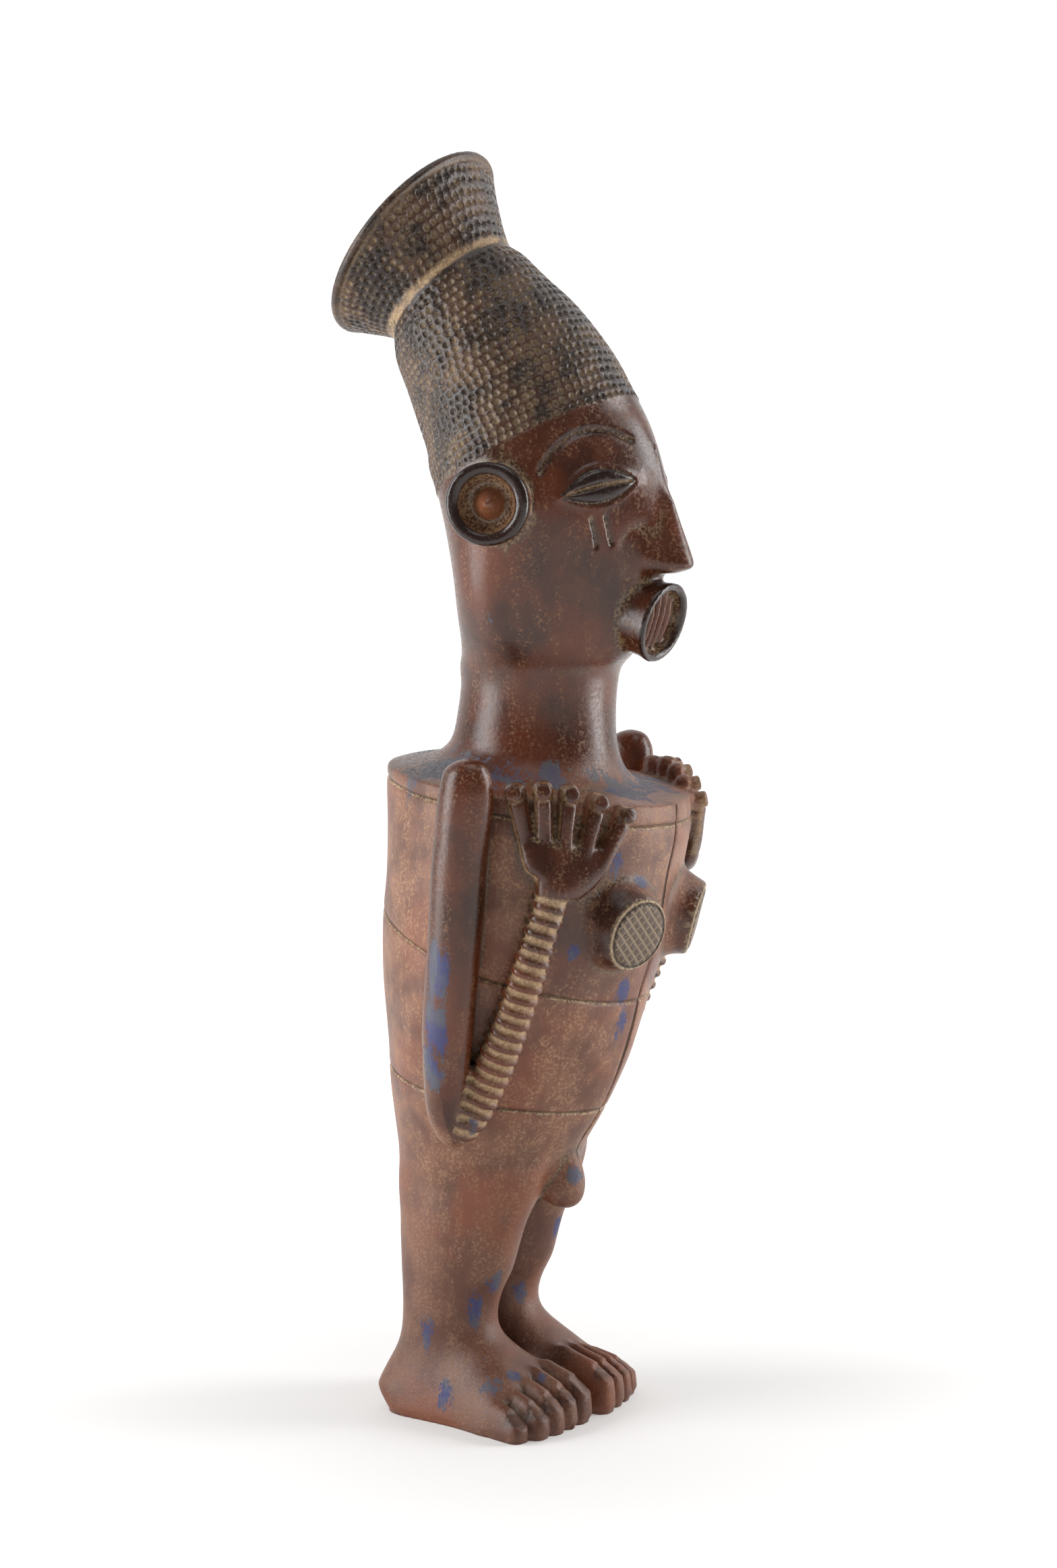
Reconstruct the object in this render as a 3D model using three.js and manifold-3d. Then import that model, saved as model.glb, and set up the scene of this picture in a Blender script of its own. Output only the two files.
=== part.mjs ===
// A standing fired-clay figure, built in one piece: feet, legs, barrel torso, bent arms
// with raised hands, long neck, wedge-shaped face and a tall coiffure that flares backwards.
// Millimetres, Z up. The figure looks along -Y and its own right side is -X.
import * as THREE from 'three';
import { mergeVertices } from 'three/addons/utils/BufferGeometryUtils.js';
import Module from 'manifold-3d';

const wasm = await Module();
wasm.setup();

// Driving sizes. Every form of the figure is a share of its height: a table entry or a
// carving size below is written for a figure 500 units tall and turned into millimetres.
const FIGURE_HEIGHT = 500;
const UNIT = FIGURE_HEIGHT / 500;

const GROOVE_DEPTH = 1.0 * UNIT;
const GROOVE_WIDTH = 1.6 * UNIT;
const RIB_COUNT = 19;
const RIB_DEPTH = 0.9 * UNIT;
const EAR_RADIUS = 16 * UNIT;
const EAR_RIM = 5 * UNIT;
const EAR_STAND = 9 * UNIT;
const MOUTH_RADIUS = 16.2 * UNIT;
const MOUTH_RIM = 3.6 * UNIT;
const MOUTH_REACH = 24 * UNIT;
const MOUTH_DEPTH = 5 * UNIT;
const DISC_RADIUS = 14.5 * UNIT;
const RIM_RADIUS = 43.6 * UNIT;
const RIM_WALL = 4.5 * UNIT;
const DISH_DEPTH = 7 * UNIT;
const TOE_COUNT = 5;
const FINGER_COUNT = 5;
const SIDES = { torso: 28, head: 28, leg: 14, arm: 8, forearm: 6, digit: 5, foot: 8, toe: 4, round: 14 };


// The tables are written for a shoulder at TABLE_SHOULDER units. With another shoulder height
// the legs and torso stretch with it, and all that stands above it goes up or down with it.
const SHOULDER_HEIGHT = 255 * UNIT;
const TABLE_SHOULDER = 255;
const rise = (z) => (z < TABLE_SHOULDER
  ? (z / TABLE_SHOULDER) * SHOULDER_HEIGHT
  : (z - TABLE_SHOULDER) * UNIT + SHOULDER_HEIGHT);
const at = (x, y, z) => new THREE.Vector3(x * UNIT, y * UNIT, rise(z));
const lerp = THREE.MathUtils.lerp;

// Curve through the rows of a table; the first column is the running value.
function along(table, value) {
  const n = table.length;
  let i = 0;
  while (i < n - 2 && table[i + 1][0] < value) i += 1;
  const rows = [table[Math.max(i - 1, 0)], table[i], table[i + 1], table[Math.min(i + 2, n - 1)]];
  const span = rows[2][0] - rows[1][0];
  const t = THREE.MathUtils.clamp((value - rows[1][0]) / span, 0, 1);
  return rows[1].slice(1).map((_, k) => {
    const [p0, p1, p2, p3] = rows.map((r) => r[k + 1]);
    const low = rows[1][0] - rows[0][0];
    const high = rows[3][0] - rows[2][0];
    const m1 = low > 0 ? ((p2 - p0) / (span + low)) * span : p2 - p1;
    const m2 = high > 0 ? ((p3 - p1) / (span + high)) * span : p2 - p1;
    const t2 = t * t;
    const t3 = t2 * t;
    return (2 * t3 - 3 * t2 + 1) * p1 + (t3 - 2 * t2 + t) * m1 + (3 * t2 - 2 * t3) * p2 + (t3 - t2) * m2;
  });
}

// Oval whose front half may be pinched to a ridge: half width, front, back, front exponent.
function oval(angle, halfWidth, front, back, power) {
  const c = Math.cos(angle);
  const s = Math.sin(angle);
  const n = s < 0 ? power : 2;
  const x = halfWidth * Math.sign(c) * Math.abs(c) ** (2 / n);
  const y = (front + back) / 2 + ((back - front) / 2) * Math.sign(s) * Math.abs(s) ** (2 / n);
  return [x, y];
}

// Closed solid through rings of points, with a flat fan at each end.
function skin(rings) {
  const count = rings[0].length;
  const points = rings.flat();
  const middle = (ring) => ring.reduce((sum, p) => sum.add(p), new THREE.Vector3()).divideScalar(count);
  const first = points.length;
  points.push(middle(rings[0]), middle(rings[rings.length - 1]));
  const faces = [];
  for (let k = 0; k < count; k += 1) {
    const next = (k + 1) % count;
    faces.push(first, next, k);
    for (let r = 0; r < rings.length - 1; r += 1) {
      const a = r * count + k;
      const b = r * count + next;
      faces.push(a, b, b + count, a, b + count, a + count);
    }
    const top = (rings.length - 1) * count;
    faces.push(first + 1, top + k, top + next);
  }
  const geometry = new THREE.BufferGeometry();
  geometry.setAttribute('position', new THREE.Float32BufferAttribute(points.flatMap((p) => [p.x, p.y, p.z]), 3));
  geometry.setIndex(faces);
  return geometry;
}

// Turns a closed geometry into a solid that can be joined and cut.
function solid(geometry) {
  const bare = geometry.clone();
  bare.deleteAttribute('normal');
  bare.deleteAttribute('uv');
  const merged = mergeVertices(bare, 1e-4);
  const vertices = new Float32Array(merged.attributes.position.array);
  const triangles = new Uint32Array(merged.index.array);
  let volume = 0;
  const p = [0, 1, 2].map(() => new THREE.Vector3());
  for (let i = 0; i < triangles.length; i += 3) {
    p.forEach((v, k) => v.fromArray(vertices, triangles[i + k] * 3));
    volume += p[0].dot(p[1].clone().cross(p[2]));
  }
  if (volume < 0) triangles.reverse();
  return new wasm.Manifold(new wasm.Mesh({ numProp: 3, vertProperties: vertices, triVerts: triangles }));
}

// Ring of points: centre, two half axes, and a rounding power.
function ring(centre, across, out, sides, power = 2) {
  return Array.from({ length: sides }, (_, k) => {
    const a = (2 * Math.PI * k) / sides;
    const c = Math.sign(Math.cos(a)) * Math.abs(Math.cos(a)) ** (2 / power);
    const s = Math.sign(Math.sin(a)) * Math.abs(Math.sin(a)) ** (2 / power);
    return centre.clone().addScaledVector(across, c).addScaledVector(out, s);
  });
}

// Limb: a row is [x, y, z, half width, half thickness]; "outward" gives the thickness side.
function limb(rows, outward, sides) {
  const centres = rows.map((r) => at(r[0], r[1], r[2]));
  const rings = rows.map((r, i) => {
    const before = centres[Math.max(i - 1, 0)];
    const after = centres[Math.min(i + 1, rows.length - 1)];
    const run = after.clone().sub(before).normalize();
    const across = outward.clone().cross(run).normalize();
    const out = run.clone().cross(across).normalize();
    return ring(centres[i], across.multiplyScalar(r[3] * UNIT), out.multiplyScalar(r[4] * UNIT), sides);
  });
  return solid(skin(rings));
}

// Turned form: profile rows are [distance along the axis, radius]; it starts and ends on the axis.
function turned(profile, sides, centre, axis) {
  const shape = new THREE.LatheGeometry(profile.map(([h, r]) => new THREE.Vector2(r, h)), sides);
  const turn = new THREE.Quaternion().setFromUnitVectors(new THREE.Vector3(0, 1, 0), axis.clone().normalize());
  shape.applyQuaternion(turn);
  shape.translate(centre.x, centre.y, centre.z);
  return solid(shape);
}

const join = (parts) => parts.reduce((whole, part) => whole.add(part));
const mirrored = (make) => [make(-1), make(1)];

// Torso: height, half width, front, back, front exponent. It narrows to a keel at the belly.
const TORSO = [
  [86, 33, -5, 54, 2.0],
  [98, 37, -12, 57.8, 2.0],
  [110, 40, -17.5, 58.8, 1.9],
  [120, 43, -24.5, 59.6, 1.7],
  [130, 46.5, -30.5, 60, 1.6],
  [145, 52, -36.5, 60, 1.6],
  [160, 57, -41.2, 60, 1.65],
  [175, 60, -45, 60.6, 1.8],
  [190, 61, -49.7, 61.4, 2.0],
  [205, 62, -53.2, 60.6, 2.0],
  [220, 62, -56, 59.6, 2.0],
  [238, 62, -59.3, 59.2, 2.0],
  [266, 61, -59.3, 59, 2.0],
];
const SHOULDER_TILT = 0.12;
const SHOULDER_RISE = 9;

function torsoRing(height, tilt, inset) {
  const sides = SIDES.torso;
  const angles = Array.from({ length: sides }, (_, k) => -Math.PI / 2 + (2 * Math.PI * k) / sides);
  const notch = 0.02;
  angles.splice(1, 0, -Math.PI / 2 + notch);
  angles.push(-Math.PI / 2 - notch);
  return angles.map((angle, k) => {
    let z = height;
    let p = [0, 0];
    for (let step = 0; step < 6; step += 1) {
      p = oval(angle, ...along(TORSO, z));
      z = height + tilt * p[1];
    }
    const pull = (inset + (k === 0 ? GROOVE_DEPTH : 0)) / UNIT;
    const reach = Math.hypot(p[0], p[1] - 5);
    const keep = 1 - pull / reach;
    return at(p[0] * keep, 5 + (p[1] - 5) * keep, z);
  });
}

function makeTorso() {
  const rows = [];
  const groove = (height, tilt) => {
    const half = GROOVE_WIDTH / UNIT / 2;
    rows.push([height - half, tilt, 0], [height, tilt, GROOVE_DEPTH], [height + half, tilt, 0]);
  };
  rows.push([90, 0, 2 * UNIT], [98, 0.02, 0], [110, 0.08, 0], [120, 0.14, 0]);
  groove(130, 0.2);
  rows.push([146, 0.26, 0], [166, 0.32, 0]);
  groove(185, 0.36);
  rows.push([204, 0.28, 0], [228, 0.2, 0]);
  groove(248.5, 0.15);
  rows.push([TABLE_SHOULDER - 0.8, SHOULDER_TILT, 0], [TABLE_SHOULDER, SHOULDER_TILT, 0.8 * UNIT]);
  const rings = rows.map((row) => torsoRing(...row));
  const edge = rings[rings.length - 1];
  const crown = at(0, 3, TABLE_SHOULDER + SHOULDER_RISE);
  for (const share of [0.6]) {
    rings.push(edge.map((p) => {
      const q = p.clone().lerp(crown, 1 - share);
      q.z = lerp(p.z, crown.z + SHOULDER_TILT * (p.y - crown.y) * share, 1 - share ** 1.4);
      return q;
    }));
  }
  return solid(skin(rings));
}

// Neck, head and coiffure: rows are a running value, then centre y, centre z, backward tilt in
// degrees, half width, front reach, back reach, front exponent.
const HEAD = [
  [0, 2, 256, -7, 46, 44, 44, 2.0],
  [1, 1.9, 262, -7, 36.5, 36.6, 37, 2.0],
  [2, 1.7, 269, -4, 32.1, 33, 33.2, 2.0],
  [3, 1.3, 279, 0, 30.7, 31.5, 31.7, 2.0],
  [4, 0.1, 291, 0, 30, 31, 30.8, 2.0],
  [5, -0.3, 299, 0, 31.4, 32.4, 31.1, 1.9],
  [6, -0.2, 304.5, 0, 36, 39.4, 29.2, 1.7],
  [7, 0, 312, 0, 39.5, 45, 28.5, 1.55],
  [8, 0, 324, 0, 42.5, 49.4, 28.7, 1.5],
  [9, -1, 337, 0, 45.5, 52.2, 30.9, 1.48],
  [10, -3, 350, 1, 48, 52.4, 35.7, 1.47],
  [11, -4, 362, 4, 49.5, 50.8, 39.3, 1.47],
  [12, -3.2, 373, 8, 48.6, 48.6, 41.6, 1.5],
  [13, -1.2, 383.4, 12, 46, 45.6, 44, 1.62],
  [14, 3.1, 394.3, 17, 42.8, 42.3, 42.3, 1.8],
  [15, 9.8, 406.5, 22.5, 40.4, 40.5, 40.6, 1.95],
  [16, 20.1, 422.3, 27.5, 36.8, 37.2, 37.2, 2.0],
  [17, 29.2, 433.2, 33, 33.6, 33.6, 33.8, 2.0],
  [18, 34.6, 440.6, 38.5, 31, 31, 31, 2.0],
  [19, 36.9, 443.3, 41, 29.2, 29.2, 29.2, 2.0],
  [20, 38.2, 444.8, 41.6, 28.6, 28.6, 28.6, 2.0],
  [21, 39.9, 446.8, 43, 29.3, 29.3, 29.3, 2.0],
  [22, 44, 451.3, 46.2, 32.2, 32.2, 32.2, 2.0],
  [23, 50, 457.9, 49.8, 37.6, 37.6, 37.6, 2.0],
];
const RIM_CENTRE = [57, 465.5];
const RIM_TILT = 52;

function headRing(value) {
  const [cy, cz, tilt, halfWidth, front, back, power] = along(HEAD, value);
  const lean = THREE.MathUtils.degToRad(tilt);
  const sides = SIDES.head;
  return Array.from({ length: sides }, (_, k) => {
    const angle = -Math.PI / 2 + (2 * Math.PI * k) / sides;
    const c = Math.cos(angle);
    const s = Math.sin(angle);
    const n = s < 0 ? power : 2;
    const x = halfWidth * Math.sign(c) * Math.abs(c) ** (2 / n);
    const y = (s < 0 ? front : back) * Math.sign(s) * Math.abs(s) ** (2 / n);
    return at(x, cy + y * Math.cos(lean), cz - y * Math.sin(lean));
  });
}

function makeHead() {
  const values = [0, 1, 2, 3, 4.8, 5.6, 6.3, 7.6, 9, 10.4, 11.6, 13, 14.4, 16, 17.4, 18.8, 20, 21, 22.2, 23];
  const rings = values.map(headRing);
  const lean = THREE.MathUtils.degToRad(RIM_TILT);
  const side = new THREE.Vector3(1, 0, 0);
  const down = new THREE.Vector3(0, Math.cos(lean), -Math.sin(lean));
  const up = new THREE.Vector3(0, Math.sin(lean), Math.cos(lean));
  const centre = at(0, ...RIM_CENTRE);
  const sides = SIDES.head;
  const disc = (height, radius) => Array.from({ length: sides }, (_, k) => {
    const angle = -Math.PI / 2 + (2 * Math.PI * k) / sides;
    return centre.clone().addScaledVector(up, height)
      .addScaledVector(side, radius * Math.cos(angle))
      .addScaledVector(down, radius * Math.sin(angle));
  });
  rings.push(disc(-3 * UNIT, RIM_RADIUS - 1.6 * UNIT), disc(-2.2 * UNIT, RIM_RADIUS), disc(0, RIM_RADIUS));
  rings.push(disc(0.6 * UNIT, RIM_RADIUS - RIM_WALL / 2), disc(0, RIM_RADIUS - RIM_WALL));
  rings.push(disc(-DISH_DEPTH, RIM_RADIUS - 2.4 * RIM_WALL), disc(-DISH_DEPTH * 1.1, RIM_RADIUS * 0.4));
  return solid(skin(rings));
}

// Nose: the ridge of the wedge runs on to a pointed tip, widening to the nostrils.
const NOSE = [
  [336.2, -52, -58, 12],
  [338.6, -50, -65.2, 12.2],
  [342, -49, -66, 11.6],
  [350, -47, -63, 9.6],
  [360, -45, -59.3, 7.2],
  [372, -43, -54.9, 5],
  [386, -41, -50.2, 3],
];

function makeNose() {
  const rings = NOSE.map(([z, base, tip, half]) => {
    const points = [[0, tip], [0.28, tip + 1.5], [0.75, (tip + base) / 2], [1, base], [0.8, base + 8]];
    const right = points.slice(1).map(([x, y]) => at(x * half, y, z + (y - tip) * 0.12));
    const left = points.slice(1).reverse().map(([x, y]) => at(-x * half, y, z + (y - tip) * 0.12));
    return [at(0, tip, z), ...right, ...left];
  });
  return solid(skin(rings));
}

// Eye: a raised almond with a slit, set on the slope of the face.
function makeEye(side) {
  const outer = at(side * 37, -28.4, 366.1);
  const inner = at(side * 13.8, -48.2, 372);
  const middle = outer.clone().lerp(inner, 0.5);
  const run = inner.clone().sub(outer);
  const out = new THREE.Vector3(side * 0.63, -0.77, 0.05).normalize();
  const up = out.clone().cross(run).normalize();
  if (up.z < 0) up.negate();
  const rings = [];
  for (const share of [-0.98, -0.62, -0.2, 0.2, 0.62, 0.98]) {
    const height = 6.9 * UNIT * (1 - share * share) + 0.3 * UNIT;
    const rise = 4.4 * UNIT * Math.sqrt(1 - share * share * 0.9);
    const centre = middle.clone().addScaledVector(run, share / 2);
    const shape = [[1, -0.6], [0.7, 0.6], [0.14, 0.9], [0, 0.55], [-0.14, 0.9], [-0.7, 0.6], [-1, -0.6]];
    rings.push(shape.map(([v, w]) => centre.clone().addScaledVector(up, v * height).addScaledVector(out, w * rise)));
  }
  return solid(skin(rings));
}

// Ear ornament: a ring with a cone in its hollow. The left one sits a little further forward.
function makeEar(side) {
  const axis = new THREE.Vector3(side * 0.965, -0.262, 0);
  const centre = side < 0 ? at(-60.5, -8, 363.7) : at(62, -11, 366);
  const inner = EAR_RADIUS - EAR_RIM;
  const profile = [
    [-2.2 * EAR_STAND, 0],
    [-2.2 * EAR_STAND, EAR_RADIUS * 0.93],
    [-0.35 * EAR_STAND, EAR_RADIUS],
    [-0.1 * EAR_STAND, EAR_RADIUS * 0.97],
    [0, EAR_RADIUS - EAR_RIM * 0.45],
    [-0.12 * EAR_STAND, inner],
    [-0.6 * EAR_STAND, inner * 0.94],
    [-0.6 * EAR_STAND, inner * 0.7],
    [-0.1 * EAR_STAND, inner * 0.16],
    [-0.06 * EAR_STAND, 0],
  ];
  return turned(profile, SIDES.round, centre, axis);
}

// Mouth: a short tube, pitched down, with upright bars on its sunken floor.
function makeMouth() {
  const axis = new THREE.Vector3(-0.08, -0.955, -0.28).normalize();
  const centre = at(-1, -54.9, 317);
  const inner = MOUTH_RADIUS - MOUTH_RIM;
  const profile = [
    [-MOUTH_REACH, 0],
    [-MOUTH_REACH, MOUTH_RADIUS * 0.9],
    [-MOUTH_REACH * 0.2, MOUTH_RADIUS * 0.97],
    [-MOUTH_REACH * 0.04, MOUTH_RADIUS],
    [0, MOUTH_RADIUS - MOUTH_RIM * 0.4],
    [-MOUTH_REACH * 0.03, inner],
    [-MOUTH_DEPTH, inner * 0.92],
    [-MOUTH_DEPTH * 1.1, 0],
  ];
  const parts = [turned(profile, SIDES.round + 2, centre, axis)];
  const up = new THREE.Vector3(0, -0.28, 0.96);
  for (const share of [-0.6, -0.2, 0.2, 0.6]) {
    const tall = inner * Math.sqrt(1 - share * share) * 0.94;
    const foot = centre.clone().addScaledVector(axis, -MOUTH_DEPTH);
    foot.x += share * inner;
    const rows = [-1, 0, 1].map((t) => ring(
      foot.clone().addScaledVector(up, t * tall),
      new THREE.Vector3(1.2 * UNIT, 0, 0),
      axis.clone().multiplyScalar(2.2 * UNIT * (1 - 0.25 * t * t)),
      4,
    ));
    parts.push(solid(skin(rows)));
  }
  return join(parts);
}

// Upper arm: a coil that hangs from the shoulder knob to the elbow.
const UPPER_ARM = [
  [-71, -6, 268.6, 3.2, 2.6],
  [-71, -6, 266.4, 7.2, 6],
  [-71, -5.6, 262, 9.8, 8.4],
  [-70.8, -4.6, 253, 10.8, 9.2],
  [-70.2, -2, 233, 10.9, 9.4],
  [-69.4, 0.2, 208, 10.8, 9.4],
  [-67.6, 3.2, 182, 10.6, 9.2],
  [-64, 7, 158, 9.8, 8.8],
  [-59, 10.4, 138, 8.6, 8.2],
  [-55, 10.6, 126, 7.6, 7.6],
  [-52.5, 8.6, 119.6, 6.6, 6.4],
  [-51, 6.4, 116.6, 3.4, 3.4],
];

// Forearm: rises from the elbow across the flank to the wrist, ribbed all the way.
const FOREARM = [
  [0, -50.5, 8.6, 120.4, 6.6, 6.4],
  [0.12, -51.4, 3.6, 127.5, 7.5, 6.6],
  [0.3, -53.4, -6.4, 146, 7.9, 6.6],
  [0.55, -57.2, -17.6, 168.5, 7.6, 6.4],
  [0.8, -59, -27, 192, 7.1, 6.2],
  [1, -57.2, -33.4, 213.5, 6.4, 5.6],
];
const mirrorRows = (rows, side, skip = 0) => rows.map((r) => r.map((v, k) => (k === skip ? -side * v : v)));

function makeForearm(side) {
  const rows = [];
  const flip = mirrorRows(FOREARM, side, 1);
  for (let k = 0; k <= 2 * RIB_COUNT; k += 1) {
    const value = k / (2 * RIB_COUNT);
    const row = along(flip, value);
    const crest = k % 2 === 0 ? -RIB_DEPTH / UNIT : 0;
    rows.push([row[0], row[1], row[2], row[3] + crest, row[4] + crest]);
  }
  return limb(rows, new THREE.Vector3(side * 0.85, -0.5, 0), SIDES.forearm);
}

// Hand: a flat palm on the chest with spread fingers over the shoulder edge.
const PALM = [
  [-57, -32.8, 210, 5.6, 5],
  [-55.6, -34.6, 215, 8.6, 5.4],
  [-53.6, -35.4, 221, 13, 5.4],
  [-51.6, -36, 227, 16.4, 5],
  [-50, -36.4, 232, 18, 4.4],
  [-49.6, -36.6, 234, 16.4, 3.2],
];
const FINGER_TIPS = [
  [-62.4, -20.6, 259.4],
  [-56.4, -30.4, 260.2],
  [-48.2, -39, 258.4],
  [-38.4, -47.2, 254],
  [-28.6, -54.4, 248.2],
];
const FINGER_ROOTS = [
  [-58.4, -25.6, 236],
  [-55.8, -30.6, 235],
  [-52, -36.4, 234],
  [-47.2, -41.4, 233],
  [-42.4, -46, 231],
];

function makeHand(side) {
  const outward = new THREE.Vector3(side * 0.74, -0.67, 0);
  const parts = [limb(mirrorRows(PALM, side), outward, SIDES.arm)];
  for (let k = 0; k < FINGER_COUNT; k += 1) {
    const root = FINGER_ROOTS[k];
    const tip = FINGER_TIPS[k];
    const mix = (t) => root.map((v, i) => lerp(v, tip[i], t));
    const rows = [[-0.1, 3.4, 4.2], [0.8, 4.1, 4.8], [0.96, 3.4, 3.8], [1, 1.6, 2]];
    const turn = (k - 2) * 0.16;
    const face = new THREE.Vector3(side * (0.74 - turn), -0.67 - turn, 0);
    parts.push(limb(mirrorRows(rows.map(([t, w, d]) => [...mix(t), w, d]), side), face, SIDES.digit));
  }
  return join(parts);
}

// Breast: a truncated cone ending in a flat disc.
function makeBreast(side) {
  const axis = new THREE.Vector3(side * 0.34, -0.9, -0.27);
  const profile = [[-24 * UNIT, 0], [-24 * UNIT, 24 * UNIT], [-12 * UNIT, 19.5 * UNIT], [-5 * UNIT, 16 * UNIT],
    [-1.5 * UNIT, DISC_RADIUS], [0, DISC_RADIUS - 0.8 * UNIT], [0, 0]];
  return turned(profile, SIDES.round, at(side * 27, -56.5, 199), axis);
}

// Small pear-shaped knob where the legs part.
const LOIN = [
  [0, 0, 110, 3, 6],
  [0, -6, 107.5, 6, 9],
  [0, -8.6, 101, 7.6, 9.6],
  [0, -9.8, 94, 9, 9.8],
  [0, -9.4, 88.4, 8.2, 8.8],
  [0, -8.4, 84.6, 4.4, 5],
];

// Leg: height, centre y, half width, half depth, distance from the middle.
const LEG = [
  [8, 37, 15, 19, 17],
  [20, 36, 14.6, 19.4, 17],
  [32, 32.4, 15, 20.6, 17.2],
  [46, 30.6, 15.6, 21.4, 17.4],
  [60, 27.6, 16.2, 23.6, 17.6],
  [76, 25.4, 17, 26.4, 17.8],
  [92, 22.4, 17.8, 30.8, 18],
  [108, 20, 18, 33, 17],
];

function makeLeg(side) {
  const rings = LEG.map(([z, cy, halfWidth, halfDepth, off]) => ring(
    at(side * off, cy, z),
    new THREE.Vector3(halfWidth * UNIT, 0, 0),
    new THREE.Vector3(0, halfDepth * UNIT, 0),
    SIDES.leg,
  ));
  return solid(skin(rings));
}

// Flat-soled loft: rows are centre x, centre y, half width, height; "run" is its direction
// and "lean" moves the crest to one side.
function soled(rows, run, sides, lean = 0) {
  const across = new THREE.Vector3(-run.y, run.x, 0).normalize();
  const rings = rows.map(([x, y, half, tall]) => {
    const points = [];
    for (let k = 0; k <= sides; k += 1) {
      const a = (Math.PI * k) / sides;
      const c = Math.sign(Math.cos(a)) * Math.abs(Math.cos(a)) ** 0.62;
      const shift = c * half + lean * Math.sin(a);
      points.push(at(x, y, tall * Math.sin(a) ** 0.8).addScaledVector(across, shift * UNIT));
    }
    return points;
  });
  return solid(skin(rings));
}

// Foot: broad wedge from the heel to the spread toes.
const FOOT = [
  [-17.4, 60.6, 6, 15],
  [-17.4, 59.6, 10.5, 19],
  [-17.6, 56, 13.6, 25],
  [-18.2, 48, 15.6, 31],
  [-19.2, 34, 17, 35],
  [-20.6, 20, 18.6, 35.5],
  [-22, 10, 20.6, 33.5],
  [-23.2, 3, 22.2, 30],
  [-23.6, -3, 21.6, 25.5],
  [-21.4, -7, 16.4, 21],
];
const CREST_LEAN = 5;
const LEFT_RISE = 1.08;
const TOE_TIPS = [[-46.6, -16.8], [-38.2, -22], [-29, -24.2], [-19, -25.2], [-8.2, -26]];
const TOE_ROOTS = [[-41, 1], [-33.4, -2], [-25.4, -4.5], [-17, -5.5], [-8, -5.5]];
const TOE_HEIGHTS = [[15.5, 11.5], [19, 13.5], [21.5, 15], [23, 16], [24, 17]];

// The left foot stands a little higher and its toes reach further, as the photograph shows.
function makeFoot(side) {
  const high = side > 0 ? LEFT_RISE : 1;
  const reach = side > 0 ? -2.5 : 0;
  const body = FOOT.map(([x, y, half, tall]) => [-side * x, y, half, tall * high]);
  const parts = [soled(body, new THREE.Vector3(0, -1, 0), SIDES.foot, -side * CREST_LEAN)];
  for (let k = 0; k < TOE_COUNT; k += 1) {
    const root = [-side * TOE_ROOTS[k][0], TOE_ROOTS[k][1]];
    const tip = [-side * TOE_TIPS[k][0], TOE_TIPS[k][1] + reach];
    const [rootHeight, tipHeight] = TOE_HEIGHTS[k].map((h) => h * high);
    const wide = k === TOE_COUNT - 1 ? 1.15 : 1;
    const rows = [[0, 3.9, 1], [0.75, 4.4, 0.2], [0.94, 4.2, 0], [1, 3, 0]].map(([t, half, share]) => [
      lerp(root[0], tip[0], t),
      lerp(root[1], tip[1], t),
      half * wide,
      lerp(tipHeight, rootHeight, share) * (t === 1 ? 0.55 : 1),
    ]);
    parts.push(soled(rows, new THREE.Vector3(tip[0] - root[0], tip[1] - root[1], 0), SIDES.toe));
  }
  return join(parts);
}

const figure = join([
  makeTorso(),
  makeHead(),
  makeNose(),
  makeMouth(),
  ...mirrored(makeEye),
  ...mirrored(makeEar),
  ...mirrored((side) => limb(mirrorRows(UPPER_ARM, side), new THREE.Vector3(side, 0, 0), SIDES.arm)),
  ...mirrored(makeForearm),
  ...mirrored(makeHand),
  ...mirrored(makeBreast),
  limb(LOIN, new THREE.Vector3(0, -1, 0), SIDES.arm),
  ...mirrored(makeLeg),
  ...mirrored(makeFoot),
]);

// The origin is on the ground, under the middle of the whole outline.
const clay = figure.getMesh();
const geometry = new THREE.BufferGeometry();
geometry.setAttribute('position', new THREE.BufferAttribute(new Float32Array(clay.vertProperties), 3));
geometry.setIndex(new THREE.BufferAttribute(new Uint32Array(clay.triVerts), 1));
geometry.computeBoundingBox();
const box = geometry.boundingBox;
geometry.translate(-(box.min.x + box.max.x) / 2, -(box.min.y + box.max.y) / 2, -box.min.z);
geometry.computeVertexNormals();

const terracotta = new THREE.MeshStandardMaterial({ color: 0x8a5a46, roughness: 0.55, metalness: 0 });
const mesh = new THREE.Mesh(geometry, terracotta);
mesh.name = 'terracotta_figure';

const part = new THREE.Group();
part.add(mesh);
export default part;
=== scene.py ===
# %% [markdown]
# # A standing figure of fired clay
# The figure was built up by hand in one piece of clay, burnished, pricked, incised and fired.
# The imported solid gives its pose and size. It could be subdivided and displaced, but its faces are
# too coarse for the fine marks. So the same forms are made again, much finer, fused as wet clay is,
# and then carved: dimples, ribs, grooves, nails and hatching.

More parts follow.
